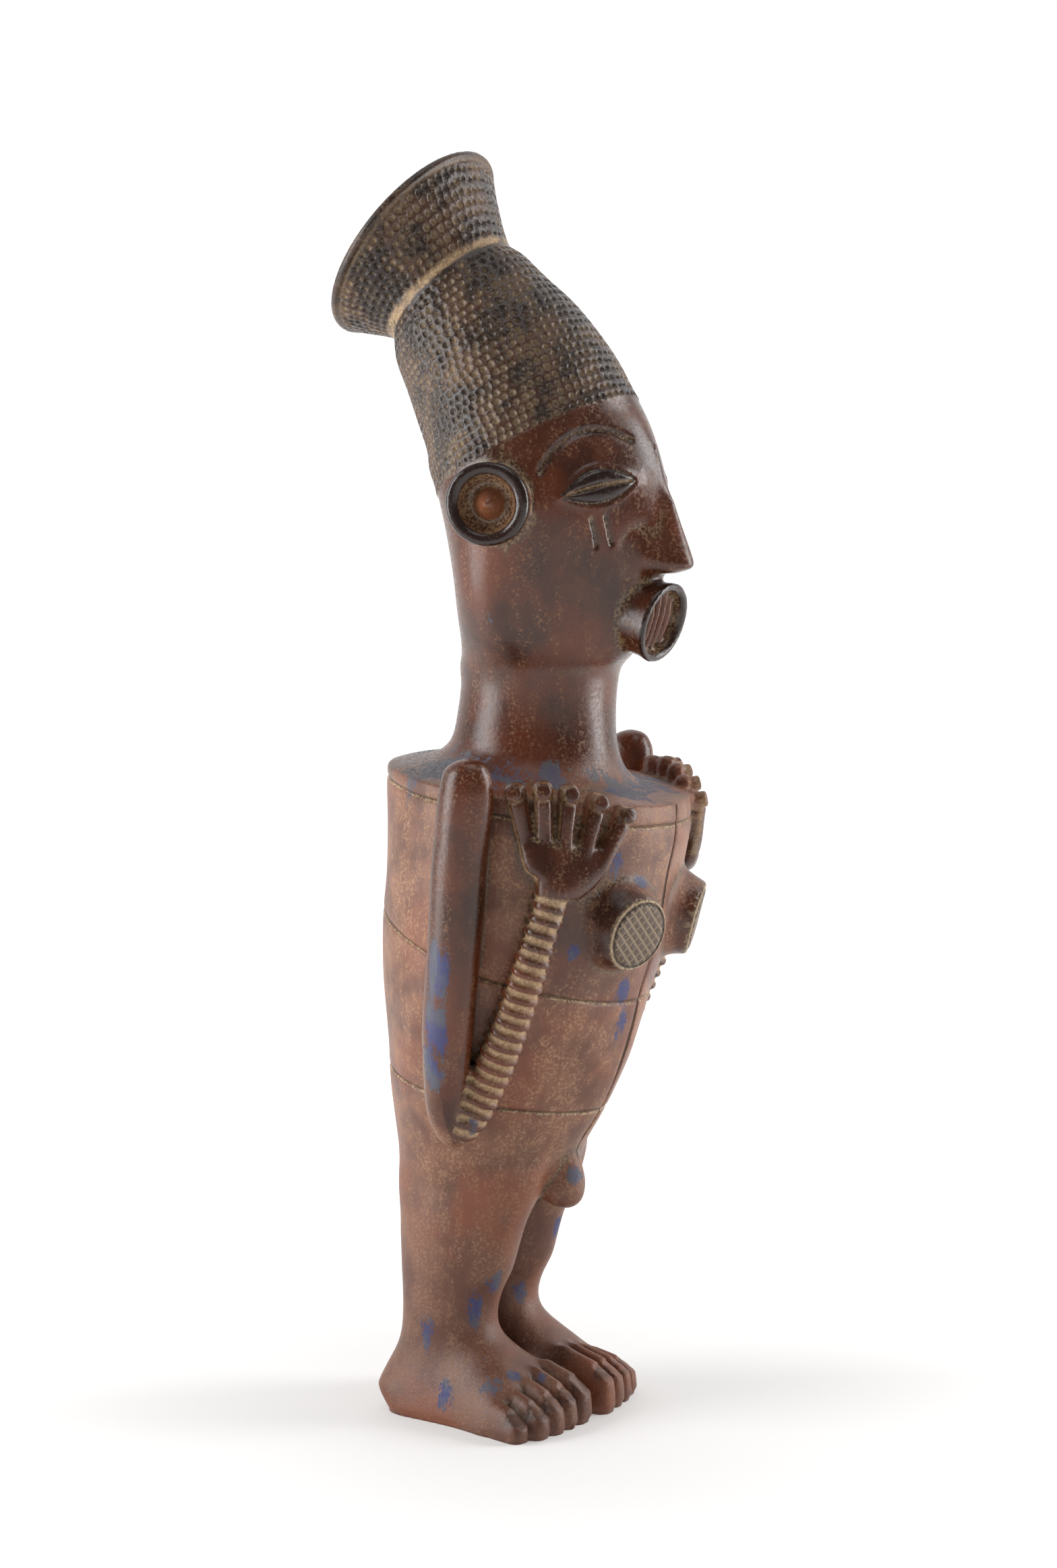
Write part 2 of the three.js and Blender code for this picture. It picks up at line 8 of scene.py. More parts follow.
# %% Load the fixed frame
import bpy
import bmesh
import numpy as np
from math import radians, pi
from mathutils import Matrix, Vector


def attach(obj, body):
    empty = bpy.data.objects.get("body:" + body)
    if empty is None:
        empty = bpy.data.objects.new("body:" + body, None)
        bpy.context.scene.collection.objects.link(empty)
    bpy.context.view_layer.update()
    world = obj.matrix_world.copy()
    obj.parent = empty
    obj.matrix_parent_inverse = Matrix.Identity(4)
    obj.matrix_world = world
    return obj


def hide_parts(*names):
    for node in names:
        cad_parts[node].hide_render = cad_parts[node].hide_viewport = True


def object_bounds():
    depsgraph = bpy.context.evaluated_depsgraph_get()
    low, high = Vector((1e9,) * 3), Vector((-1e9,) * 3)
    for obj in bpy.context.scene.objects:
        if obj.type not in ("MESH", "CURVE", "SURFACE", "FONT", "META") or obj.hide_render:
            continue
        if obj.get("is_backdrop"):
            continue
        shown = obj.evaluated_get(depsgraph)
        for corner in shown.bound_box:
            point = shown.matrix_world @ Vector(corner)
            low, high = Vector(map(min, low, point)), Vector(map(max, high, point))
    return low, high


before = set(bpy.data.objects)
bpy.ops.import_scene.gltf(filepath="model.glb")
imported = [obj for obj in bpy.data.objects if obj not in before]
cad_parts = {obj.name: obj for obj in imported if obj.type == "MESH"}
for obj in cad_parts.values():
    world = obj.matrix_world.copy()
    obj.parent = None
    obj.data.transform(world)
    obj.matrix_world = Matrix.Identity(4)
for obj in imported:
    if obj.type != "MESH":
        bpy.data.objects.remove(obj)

NODE = "terracotta_figure"
cad_low, cad_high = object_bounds()
print("solid from", tuple(cad_low), "to", tuple(cad_high))

# %% [markdown]
# ## Curves and forms
# Every part of the figure is described by a short table of cross sections, in millimetres, with
# the torso's axis at x = 0, y = 0. One smooth curve runs through the rows of a table. A form is a
# bmesh grid wrapped round its sections, welded along the seam and closed at both ends. Sculpting
# would be freer, but a table keeps every width in sight and gives the same form each time.

# %% A smooth curve through the rows of a table
NOSE_TIP = -66.0
MM = 0.001
GROUND_SHIFT = NOSE_TIP - cad_low.y / MM
SPAN = pi * 2
MIRROR = [-1, 1, 1]


def along(table, value):
    table = np.asarray(table, float)
    keys, rows = table[:, 0], table[:, 1:]
    value = np.clip(np.asarray(value, float), keys[0], keys[-1])
    i = np.clip(np.searchsorted(keys, value, "right") - 1, 0, len(keys) - 2)
    slope = np.empty_like(rows)
    slope[1:-1] = (rows[2:] - rows[:-2]) / (keys[2:] - keys[:-2])[:, None]
    slope[0] = (rows[1] - rows[0]) / (keys[1] - keys[0])
    slope[-1] = (rows[-1] - rows[-2]) / (keys[-1] - keys[-2])
    step = (keys[i + 1] - keys[i])[..., None]
    t = (value - keys[i])[..., None] / step
    near = (2 * t**3 - 3 * t**2 + 1) * rows[i] + (t**3 - 2 * t**2 + t) * step * slope[i]
    return near + (3 * t**2 - 2 * t**3) * rows[i + 1] + (t**3 - t**2) * step * slope[i + 1]


def power_curve(value, power):
    return np.sign(value) * np.abs(value) ** (2 / power)


def smooth(value, low, high):
    t = np.clip((np.asarray(value, float) - low) / (high - low), 0, 1)
    return t * t * (3 - 2 * t)


def bell(value, width, power=2):
    """1 where the value is 0, falling away within about the width."""
    return np.exp(-((value / width) ** power))


def to_right(points):
    """The same points, with those on the figure's left mirrored to its right."""
    return np.where((points[:, 0] < 0)[:, None], points, points * MIRROR)


def round_axis(points, centre, axis):
    """Height along an axis and distance from it."""
    offset = points - centre
    height = offset @ axis
    return height, np.linalg.norm(offset - np.outer(height, axis), axis=1)


# %% Wrap a grid round rings of points
clay = bmesh.new()
forms_in_clay = []


def press_in(form):
    """Joins one closed form to the rest of the clay."""
    bmesh.ops.recalc_face_normals(form, faces=form.faces)
    forms_in_clay.append(len(form.faces))
    scratch = bpy.data.meshes.new("scratch")
    form.to_mesh(scratch)
    form.free()
    clay.from_mesh(scratch)
    bpy.data.meshes.remove(scratch)


def add_form(rings):
    """Wraps a welded and capped grid round a run of rings, given in millimetres."""
    rings = [np.asarray(ring, float) for ring in rings]
    form = bmesh.new()
    bmesh.ops.create_grid(form, x_segments=len(rings[0]), y_segments=len(rings) - 1, size=1)
    points = np.concatenate([np.vstack([ring, ring[:1]]) for ring in rings])
    points[:, 1] -= GROUND_SHIFT
    for vert, point in zip(form.verts, points * MM):
        vert.co = point
    bmesh.ops.remove_doubles(form, verts=form.verts, dist=2e-6)
    rims = [edge for edge in form.edges if edge.is_boundary]
    bmesh.ops.holes_fill(form, edges=rims)
    press_in(form)


def frame_ring(centre, across, out, sides, power=2.0):
    a = np.arange(sides) * SPAN / sides
    c = power_curve(np.cos(a), power)[:, None]
    s = power_curve(np.sin(a), power)[:, None]
    return np.asarray(centre) + c * np.asarray(across) + s * np.asarray(out)


# %% Limbs that follow a run of sections
def unit(v):
    v = np.asarray(v, float)
    return v / np.linalg.norm(v)


def add_limb(table, outward, sides, steps, power=2.0, swell=None):
    """Rows are value, x, y, z, half width, half thickness."""
    values = np.linspace(table[0][0], table[-1][0], steps)
    rows = along(table, values)
    runs = np.gradient(rows[:, :3], axis=0)
    rings = []
    for value, row, run in zip(values, rows, runs):
        run = unit(run)
        across = unit(np.cross(outward, run))
        out = unit(np.cross(run, across))
        extra = swell(value) if swell else 0.0
        width, depth = max(row[3] + extra, 0.2), max(row[4] + extra, 0.2)
        rings.append(frame_ring(row[:3], across * width, out * depth, sides, power))
    add_form(rings)


def both(make):
    make(-1)
    make(1)


def keyed(rows, side, column=0):
    """Numbers the rows by their run and mirrors the given column to one side."""
    rows = np.array(rows, float)
    rows[:, column] *= -side
    gaps = np.linalg.norm(np.diff(rows[:, :3], axis=0), axis=1)
    return np.column_stack([np.concatenate([[0], np.cumsum(gaps)]), rows])


# %% [markdown]
# ## Torso
# A barrel that narrows to a keel at the belly, cut off by a flat shoulder that slopes forward.
# A squashed cylinder would be quicker, but here the front is a keel and the back is round, so each
# ring has its own front, back and squareness. The rings lie on slightly tilted planes, as the
# incised lines round the torso do.

# %% Sections of the torso
# height, half width, front, back, squareness of the front
TORSO = [
    [86, 33, -5, 54, 2.0],
    [98, 37, -12, 57.8, 2.0],
    [110, 40, -17.5, 58.8, 1.9],
    [120, 43, -24.5, 59.6, 1.7],
    [130, 46.5, -30.5, 60, 1.6],
    [145, 52, -36.5, 60, 1.6],
    [160, 57, -41.2, 60, 1.65],
    [175, 60, -45, 60.6, 1.8],
    [190, 61, -49.7, 61.4, 2.0],
    [205, 62, -53.2, 60.6, 2.0],
    [220, 62, -56, 59.6, 2.0],
    [238, 62, -59.3, 59.2, 2.0],
    [266, 61, -59.3, 59, 2.0],
]
SHOULDER_HEIGHT, SHOULDER_TILT, SHOULDER_RISE = 255.0, 0.12, 9.0
AXIS_BACK = 5


def torso_ring(height, tilt, inset=0.0, sides=200):
    a = -pi / 2 + np.arange(sides) * SPAN / sides
    z = np.full(sides, float(height))
    for _ in range(8):
        half, front, back, power = along(TORSO, z).T
        n = np.where(np.sin(a) < 0, power, 2.0)
        x = half * power_curve(np.cos(a), n)
        y = (front + back) / 2 + (back - front) / 2 * power_curve(np.sin(a), n)
        z = height + tilt * y
    keep = 1 - inset / np.hypot(x, y - AXIS_BACK)
    return np.column_stack([x * keep, AXIS_BACK + (y - AXIS_BACK) * keep, z])


# %% Torso, closed by a sloping shoulder
tilts = [[88, 0.0], [101, 0.02], [111, 0.08], [130, 0.2], [185, 0.36], [248.5, 0.15], [255, 0.12]]
heights = np.linspace(90, SHOULDER_HEIGHT - 1.2, 120)
torso = [torso_ring(88, 0, 2)]
torso += [torso_ring(h, along(tilts, h)[0]) for h in heights]
torso += [torso_ring(SHOULDER_HEIGHT - 0.5, SHOULDER_TILT, 0.15)]
edge = torso_ring(SHOULDER_HEIGHT, SHOULDER_TILT, 0.9)
crown = np.array([0, 3, SHOULDER_HEIGHT + SHOULDER_RISE])
for share in [1.0, 0.97, 0.9, 0.8, 0.7, 0.6, 0.5, 0.4, 0.3]:
    ring = crown + (edge - crown) * share
    slope = crown[2] + SHOULDER_TILT * (edge[:, 1] - crown[1]) * share
    ring[:, 2] = slope * (1 - share**1.4) + edge[:, 2] * share**1.4
    torso.append(ring)
add_form(torso)
print("torso rings", len(torso), "reach up to", round(float(torso[-1][:, 2].max()), 1), "mm")

# %% [markdown]
# ## Neck, head and coiffure
# On the figure they are one swelling column. It could be bent from a straight one with a modifier,
# but then the face could not keep its wedge. So it is one run of sections: level at the neck,
# tilting back more and more up to the coiffure's collar, then the flare with a lip and a dish.

# %% Sections of neck, head and coiffure
# order, middle back, middle up, tilt, half width, front, back, squareness of the front
HEAD = [
    [0, 2, 256, -7, 46, 44, 44, 2.0],
    [1, 1.9, 262, -7, 36.5, 36.6, 37, 2.0],
    [2, 1.7, 269, -4, 32.1, 33, 33.2, 2.0],
    [3, 1.3, 279, 0, 30.7, 31.5, 31.7, 2.0],
    [4, 0.1, 291, 0, 30.3, 31, 30.8, 2.0],
    [5, -0.3, 299, 0, 32, 32.6, 31.1, 1.9],
    [6, -0.2, 304.5, 0, 34.8, 38.6, 29.4, 1.72],
    [7, 0, 312, 0, 38.6, 45, 28.5, 1.56],
    [8, 0, 324, 0, 42.5, 49.4, 28.7, 1.5],
    [9, -1, 337, 0, 45.5, 52.2, 30.9, 1.48],
    [10, -3, 350, 1, 48, 52.4, 35.7, 1.47],
    [11, -4, 362, 4, 49.5, 50.8, 39.3, 1.47],
    [12, -3.2, 373, 8, 48.6, 48.6, 41.6, 1.5],
    [13, -1.2, 383.4, 12, 46, 45.6, 44, 1.62],
    [14, 3.1, 394.3, 17, 42.8, 42.3, 42.3, 1.8],
    [15, 9.8, 406.5, 22.5, 40.4, 40.5, 40.6, 1.95],
    [16, 20.1, 422.3, 27.5, 36.8, 37.2, 37.2, 2.0],
    [17, 29.2, 433.2, 33, 33.6, 33.6, 33.8, 2.0],
    [18, 34.6, 440.6, 38.5, 31, 31, 31, 2.0],
    [19, 36.9, 443.3, 41, 29.2, 29.2, 29.2, 2.0],
    [20, 38.2, 444.8, 41.6, 28.6, 28.6, 28.6, 2.0],
    [21, 39.9, 446.8, 43, 29.3, 29.3, 29.3, 2.0],
    [22, 44, 451.3, 46.2, 32.2, 32.2, 32.2, 2.0],
    [23, 50, 457.9, 49.8, 37.6, 37.6, 37.6, 2.0],
]
RIM_CENTRE = np.array([0, 57.0, 465.5])
RIM_LEAN = radians(52)
RIM_UP = np.array([0, np.sin(RIM_LEAN), np.cos(RIM_LEAN)])
RIM_BACK = np.array([0, np.cos(RIM_LEAN), -np.sin(RIM_LEAN)])
RIM_RADIUS = 43.6


# %% Neck, head and coiffure
def head_ring(value, sides=220):
    cy, cz, tilt, half, front, back, power = along(HEAD, value)
    a = -pi / 2 + np.arange(sides) * SPAN / sides
    n = np.where(np.sin(a) < 0, power, 2.0)
    x = half * power_curve(np.cos(a), n)
    reach = np.where(np.sin(a) < 0, front, back)
    y = reach * power_curve(np.sin(a), n)
    lean = radians(tilt)
    return np.column_stack([x, cy + y * np.cos(lean), cz - y * np.sin(lean)])


def rim_ring(height, radius, sides=220):
    a = -pi / 2 + np.arange(sides) * SPAN / sides
    flat = np.outer(np.cos(a), [1, 0, 0]) + np.outer(np.sin(a), RIM_BACK)
    return RIM_CENTRE + RIM_UP * height + flat * radius


head = [head_ring(v) for v in np.linspace(0, 23, 190)]
lip = [[-3.6, -1.5], [-2.8, -0.5], [-2.2, 0], [-0.6, 0], [0.2, -0.8], [0.5, -2.4], [-0.2, -4.6]]
dish = [[-2.5, -7.6], [-5.0, -11], [-7.0, -16], [-7.7, -25], [-7.9, -35]]
head += [rim_ring(h, RIM_RADIUS + r) for h, r in lip + dish]
add_form(head)
print("head rings", len(head), "top at", round(float(max(ring[:, 2].max() for ring in head)), 1), "mm")

# %% [markdown]
# ## Face
# The face is a wedge with signs for features: a ridge of a nose, slit almonds for eyes, disc
# ears with a cone in the hollow, and a short barred tube for a mouth. The round ones are spun from
# a profile, as the maker turned pellets of clay, and the others are rings of points. Sculpted
# features would lose the crisp, separate look that they have.

# %% Nose
# height, root, ridge, half width
NOSE = [
    [336.2, -52, -58, 11],
    [338.2, -50, -64.6, 12.4],
    [340, -49.4, -66, 12.6],
    [344, -48.5, -65, 12],
    [350, -47, -63, 10.2],
    [360, -45, -59.3, 7.6],
    [372, -43, -54.9, 5.4],
    [386, -41, -50.2, 3],
]
nose = []
for z in np.linspace(336.2, 386, 70):
    base, tip, half = along(NOSE, z)
    a = np.linspace(0, pi, 41)
    side_run = np.cos(a)
    x = half * power_curve(side_run, 1.7)
    y = base + (tip - base) * np.abs(np.sin(a)) ** 1.25
    outline = np.column_stack([x, y, z + (y - tip) * 0.12])
    inner = np.array([[-half * 0.8, base + 8, z], [half * 0.8, base + 8, z]])
    nose.append(np.vstack([outline, inner]))
add_form(nose)


# %% Eyes
EYE_OUTER, EYE_INNER = np.array([-37.9, -27.4, 365.8]), np.array([-13.2, -48.5, 372.2])
EYE_OUT = unit([-0.63, -0.77, 0.05])
EYE_HEIGHT, EYE_RISE, EYE_BOW = 7.9, 3.9, 1.2


def eye_axes(side):
    """Corners of an eye and its outward and upward directions; -1 is the figure's right."""
    outer, inner, out = (v * [-side, 1, 1] for v in (EYE_OUTER, EYE_INNER, EYE_OUT))
    up = unit(np.cross(out, inner - outer))
    return outer, inner, out, up if up[2] > 0 else -up


def add_eye(side):
    outer, inner, out, up = eye_axes(side)
    run = inner - outer
    v = np.linspace(1, -1, 41)
    dome = np.sqrt(np.clip(1 - np.abs(v / 0.86) ** 2.6, 0, 1))
    slit = 0.55 * bell(v, 0.12)
    lid = 0.32 * bell(np.abs(v) - 0.94, 0.07)
    profile = -0.75 + (v**2 < 0.98) * 0.95 + 0.72 * dome * (1 - slit) + lid
    rings = []
    for share in np.linspace(-0.985, 0.985, 48):
        height = EYE_HEIGHT * (1 - abs(share) ** 1.9) + 0.3
        rise = EYE_RISE * np.sqrt(1 - share * share * 0.82)
        middle = (outer + inner) / 2 + run * share / 2
        bow = up * EYE_BOW * (1 - share * share)
        rings.append(middle + bow + np.outer(v * height, up) + np.outer(profile * rise, out))
    add_form(rings)


both(add_eye)
print("eye length", round(float(np.linalg.norm(EYE_INNER - EYE_OUTER)), 1), "mm")


# %% Turned forms for ears, mouth and discs
def add_turned(profile, centre, axis, sides=96):
    """A profile of height and radius rows, spun round an axis as on a wheel."""
    form = bmesh.new()
    rows = [Vector((radius, 0, height)) for height, radius in profile]
    verts = [form.verts.new(row) for row in rows]
    for a, b in zip(verts, verts[1:]):
        form.edges.new((a, b))
    bmesh.ops.subdivide_edges(form, edges=form.edges, cuts=3)
    bmesh.ops.spin(form, geom=form.verts[:] + form.edges[:], cent=(0, 0, 0), axis=(0, 0, 1),
                   angle=SPAN, steps=sides, use_merge=True)
    bmesh.ops.remove_doubles(form, verts=form.verts, dist=1e-4)
    turn = Vector((0, 0, 1)).rotation_difference(Vector(axis))
    bmesh.ops.rotate(form, verts=form.verts, cent=(0, 0, 0), matrix=turn.to_matrix())
    bmesh.ops.translate(form, verts=form.verts, vec=Vector(centre) - Vector((0, GROUND_SHIFT, 0)))
    bmesh.ops.scale(form, verts=form.verts, vec=(MM, MM, MM))
    press_in(form)


EAR_CENTRE = np.array([60.5, -8, 363.7])
LEFT_EAR_CENTRE = np.array([63, -13.4, 366])
EAR_AXIS = unit([0.965, -0.262, 0])
EAR_PROFILE = [[-20, 0], [-20, 14.4], [-6, 15.2], [-3.6, 16], [-1.6, 16.1], [-0.3, 15.3], [0.1, 13.9],
               [-0.5, 11.9], [-1.7, 10.9], [-3.4, 10.2], [-5.6, 9.4], [-6.8, 8], [-6.6, 6.2], [-4.6, 4.8],
               [-2.2, 3.3], [-0.2, 1.7], [1, 0.6], [1.2, 0]]
add_turned(EAR_PROFILE, EAR_CENTRE * MIRROR, EAR_AXIS * MIRROR)
add_turned(EAR_PROFILE, LEFT_EAR_CENTRE, EAR_AXIS)

# %% Mouth
# The mouth is a short tube with four upright bars inside.
MOUTH_CENTRE = np.array([-1, -54.9, 317])
MOUTH_AXIS = unit([-0.08, -0.955, -0.28])
MOUTH_UP = unit([0, -0.28, 0.96])
MOUTH_PROFILE = [[-24, 0], [-24, 14.2], [-12, 14.8], [-5, 15.2], [-1.8, 16], [-0.5, 16.1], [0.1, 15],
                 [-0.1, 13.6], [-1.2, 12.6], [-5.2, 11.8], [-6, 10.6], [-6.2, 0]]
add_turned(MOUTH_PROFILE, MOUTH_CENTRE, MOUTH_AXIS)
for share in [-0.62, -0.22, 0.2, 0.6]:
    tall = 12 * np.sqrt(1 - share * share) * 0.97
    foot = MOUTH_CENTRE - MOUTH_AXIS * 6.2 + np.array([share * 12, 0, 0])
    bar = []
    for t in np.linspace(-1, 1, 25):
        depth = 4.2 * (1 - 0.3 * t * t)
        bar.append(frame_ring(foot + MOUTH_UP * t * tall, [1.5, 0, 0], MOUTH_AXIS * depth, 14))
    add_form(bar)

# %% [markdown]
# ## Arms and hands
# Each upper arm is a rolled coil hanging from the shoulder. The forearm is a thinner coil,
# ribbed by ring cuts, that climbs over the flank to a flat hand with spread fingers. A curve with
# a bevel would give the coils too, but one limb helper also serves the flat palm and fingers, and
# lets the ribs be part of the form. Both sides come from one table, mirrored.

# %% Upper arms
# place of the middle, half width, half thickness
UPPER_ARM = [
    [-71, -6, 268.8, 1.6, 1.3],
    [-71, -6, 268, 4.6, 3.9],
    [-71, -6, 265.8, 7.6, 6.4],
    [-71, -5.6, 262, 9.7, 8.3],
    [-70.8, -4.6, 253, 10.8, 9.2],
    [-70.2, -2, 233, 10.9, 9.4],
    [-69.4, 0.2, 208, 10.8, 9.4],
    [-67.6, 3.2, 182, 10.6, 9.2],
    [-64, 7, 158, 9.8, 8.8],
    [-59, 10.4, 138, 8.6, 8.2],
    [-55, 10.6, 126, 7.6, 7.6],
    [-52.5, 8.6, 119.6, 6.6, 6.4],
    [-51, 6.4, 116.6, 3.4, 3.4],
]
both(lambda s: add_limb(keyed(UPPER_ARM, s), (s, 0, 0), 56, 170))

# %% Ribbed forearms
FOREARM = [
    [-50.5, 8.6, 120.4, 6.6, 6.4],
    [-51.4, 3.6, 127.5, 7.5, 6.6],
    [-53.4, -6.4, 146, 7.9, 6.6],
    [-57.2, -17.6, 168.5, 7.6, 6.4],
    [-59, -27, 192, 7.1, 6.2],
    [-57, -33.6, 214.5, 6.4, 5.6],
    [-56.4, -34.4, 220, 6.2, 5.5],
]
RIB_COUNT = 21


def add_forearm(side):
    rows = keyed(FOREARM, side)
    length = rows[-1, 0]

    def rib(value):
        phase = value / length * RIB_COUNT
        return -0.8 * bell(phase - round(phase), 0.24, 4) * (phase < RIB_COUNT - 0.6)

    add_limb(rows, (side * 0.85, -0.5, 0), 44, 320, 2.2, rib)


both(add_forearm)
print("forearm length", round(float(keyed(FOREARM, 1)[-1, 0]), 1), "mm with", RIB_COUNT, "ribs")

# %% Hands
PALM = [
    [-57.2, -32.6, 208, 6.0, 5],
    [-57, -33, 212, 6.4, 5.6],
    [-56.4, -33.8, 216, 6.8, 6.0],
    [-55.8, -34.4, 218.4, 8.0, 6.3],
    [-55, -35, 220.2, 11.4, 6.2],
    [-54, -35.6, 223.2, 14.4, 6.0],
    [-52.4, -36.2, 228, 17.0, 5.6],
    [-50.6, -36.6, 233, 18.8, 5.0],
    [-49.8, -36.8, 236, 17.8, 4.0],
]
FINGER_TIPS = [[-62.4, -20.6, 259.4], [-56.8, -30.0, 260.2], [-49.4, -37.8, 258.6],
               [-40.4, -45.6, 254.6], [-30.8, -52.8, 249]]
FINGER_ROOTS = [[-58.4, -25.6, 232], [-55.8, -30.6, 231], [-52, -36.4, 230],
                [-47.2, -41.4, 229], [-42.4, -46, 227]]
FINGER = [[-0.1, 3.2, 4.4], [0.1, 3.3, 4.9], [0.5, 3.5, 5.1], [0.72, 3.7, 5.3],
          [0.88, 4.0, 5.2], [0.96, 3.3, 4.2], [1.0, 1.4, 2.0]]
NAIL_PROFILE = [[-2.6, 0], [-2.6, 3.1], [0.1, 3.4], [0.45, 3.1], [0.7, 2.0], [0.8, 0]]


def fingers():
    """Root, run to the tip and outward direction of each finger of the figure's right hand."""
    for k, (root, tip) in enumerate(zip(FINGER_ROOTS, FINGER_TIPS)):
        turn = (k - 2) * 0.16
        yield np.array(root), np.array(tip) - np.array(root), np.array([-(0.74 - turn), -0.67 - turn, 0.0])


def finger_nails():
    """Centre and facing of each round nail, on the same hand."""
    for root, run, outward in fingers():
        out = unit(outward)
        yield root + run * 0.87 + out * 4.9, unit(out + [0, 0, 0.18])


def add_hand(side):
    mirror = [-side, 1, 1]
    add_limb(keyed(PALM, side), (side * 0.74, -0.67, 0), 64, 60, 2.4)
    for root, run, outward in fingers():
        rows = [[*(root + run * t), width, depth] for t, width, depth in FINGER]
        add_limb(keyed(rows, side), outward * mirror, 32, 60, 2.3)
    for centre, axis in finger_nails():
        add_turned(NAIL_PROFILE, centre * mirror, axis * mirror, 28)


both(add_hand)
print("fingers on a hand", len(list(fingers())))

# %% [markdown]
# ## Chest discs and the small knob
# The breasts are stubby cones that end in flat hatched discs, so they are spun like the ears. A
# small pear-shaped knob hangs where the legs part. It could be a scaled sphere, but a short limb
# gives its narrow top.

# %% Breasts and knob
DISC_CENTRE = np.array([27, -56.5, 199])
DISC_AXIS = unit([0.34, -0.9, -0.27])
DISC_PROFILE = [[-26, 0], [-26, 25], [-17, 22], [-12, 19], [-7, 16.8], [-3, 15.6], [-1, 15.3],
                [-0.1, 14.9], [0.2, 14.2], [0.2, 7], [0.2, 0]]
both(lambda s: add_turned(DISC_PROFILE, DISC_CENTRE * [s, 1, 1], DISC_AXIS * [s, 1, 1]))
KNOB = [
    [0, 0, 112, 2, 4],
    [0, -4, 109.5, 5, 7.6],
    [0, -7.4, 104, 7, 9.2],
    [0, -9.2, 97, 8.4, 9.8],
    [0, -9.8, 91.5, 9, 9.6],
    [0, -9.2, 86.6, 7, 7.6],
    [0, -8.6, 84.4, 2.6, 3],
]
add_limb(keyed(KNOB, 1), (0, -1, 0), 48, 60)

# %% [markdown]
# ## Legs and feet
# Two oval columns stand on broad wedge-shaped feet with five rolls for toes. The soles rest flat,
# so a foot and its toes are made of arches on a straight base. Rounded limbs cut off by a plane
# would do as well, but would need a second pass to close the cut.

# %% Legs
# height, middle back, half width, half depth, distance from the figure's middle
LEG = [
    [8, 37, 15, 19, 17],
    [20, 36, 14.6, 19.4, 17],
    [32, 32.4, 15, 20.6, 17.2],
    [46, 30.6, 15.6, 21.4, 17.4],
    [60, 27.6, 16.2, 23.6, 17.6],
    [76, 25.4, 17, 26.4, 17.8],
    [92, 22.4, 17.8, 30.8, 18],
    [108, 20, 18, 33, 17],
]


def add_leg(side):
    rings = []
    for z in np.linspace(8, 108, 80):
        cy, half_width, half_depth, off = along(LEG, z)
        rings.append(frame_ring((side * off, cy, z), (half_width, 0, 0), (0, half_depth, 0), 110))
    add_form(rings)


both(add_leg)

# %% Sizes of feet and toes
# place of the middle, half width, height
FOOT = [
    [-17.4, 61, 3, 9],
    [-17.4, 60.6, 6.5, 15],
    [-17.4, 59.6, 10.5, 19],
    [-17.6, 56, 13.6, 25],
    [-18.2, 48, 15.6, 31],
    [-19.2, 34, 17, 35],
    [-20.6, 20, 18.6, 36],
    [-22, 10, 20.6, 33],
    [-23.2, 3, 22.2, 28.6],
    [-23.6, -3, 21.8, 23],
    [-23, -7, 19, 18.4],
    [-22.4, -11, 15.4, 12.4],
    [-22, -15, 10, 6],
]
CREST_LEAN = 5.0
LEFT_RISE = 1.08
LEFT_REACH = -2.5
TOE_TIPS = [[-47, -17.2], [-38.4, -22.6], [-29, -24.8], [-19, -25.8], [-8.2, -26.6]]
TOE_ROOTS = [[-39, 6.5], [-31.8, 4], [-24.4, 1.5], [-16.4, 0.5], [-8, 0.5]]
TOE_HEIGHTS = [[17, 11], [21, 13], [23.6, 14.6], [25.4, 15.6], [26, 16.6]]
TOE = [[0, 3.4, 1, 0.9], [0.2, 4, 0.8, 1], [0.45, 4.4, 0.52, 1], [0.7, 4.6, 0.24, 1], [0.84, 4.6, 0.08, 0.99],
       [0.92, 4.2, 0, 0.93], [0.97, 3.3, 0, 0.78], [1.0, 1.7, 0, 0.5]]


# %% Arches on a straight base
def add_soled(rows, run, sides, steps, lean=0.0, roundness=(0.62, 0.8)):
    """Rows are value, x, y, half width, height; the underside is flat on the ground."""
    values = np.linspace(rows[0][0], rows[-1][0], steps)
    run = unit([*run, 0])
    across = np.array([-run[1], run[0], 0])
    a = np.linspace(0, pi, sides)
    rings = []
    for x, y, half, tall in along(rows, values):
        c = np.sign(np.cos(a)) * np.abs(np.cos(a)) ** roundness[0]
        top = np.array([x, y, 0]) + np.outer(c * half + lean * np.sin(a), across)
        top[:, 2] = tall * np.abs(np.sin(a)) ** roundness[1]
        base = np.array([x, y, 0]) + np.outer(np.linspace(-1, 1, 12)[1:-1] * half, across)
        rings.append(np.vstack([top, base]))
    add_form(rings)


# %% Toes and feet
def toe_rows(k, high, reach):
    root, tip = np.array(TOE_ROOTS[k]), np.array(TOE_TIPS[k]) + [0, reach]
    big = 1.15 if k == 4 else 1.0
    at_root, at_tip = np.array(TOE_HEIGHTS[k]) * high
    rows = []
    for t, half, share, squash in TOE:
        x, y = root + (tip - root) * t
        rows.append([t, x, y, half * big, (at_tip + (at_root - at_tip) * share) * squash])
    return np.array(rows)


def toe_nails(high, reach):
    """Centre and facing of each toenail, on the figure's right foot."""
    for k in range(5):
        rows = toe_rows(k, high, reach)
        x, y, half, tall = along(rows, 0.86)
        run = unit([*(rows[-1, 1:3] - rows[0, 1:3]), 0.0])
        yield np.array([x, y, tall - 1.6]), unit(run * 0.62 + [0, 0, 0.8])


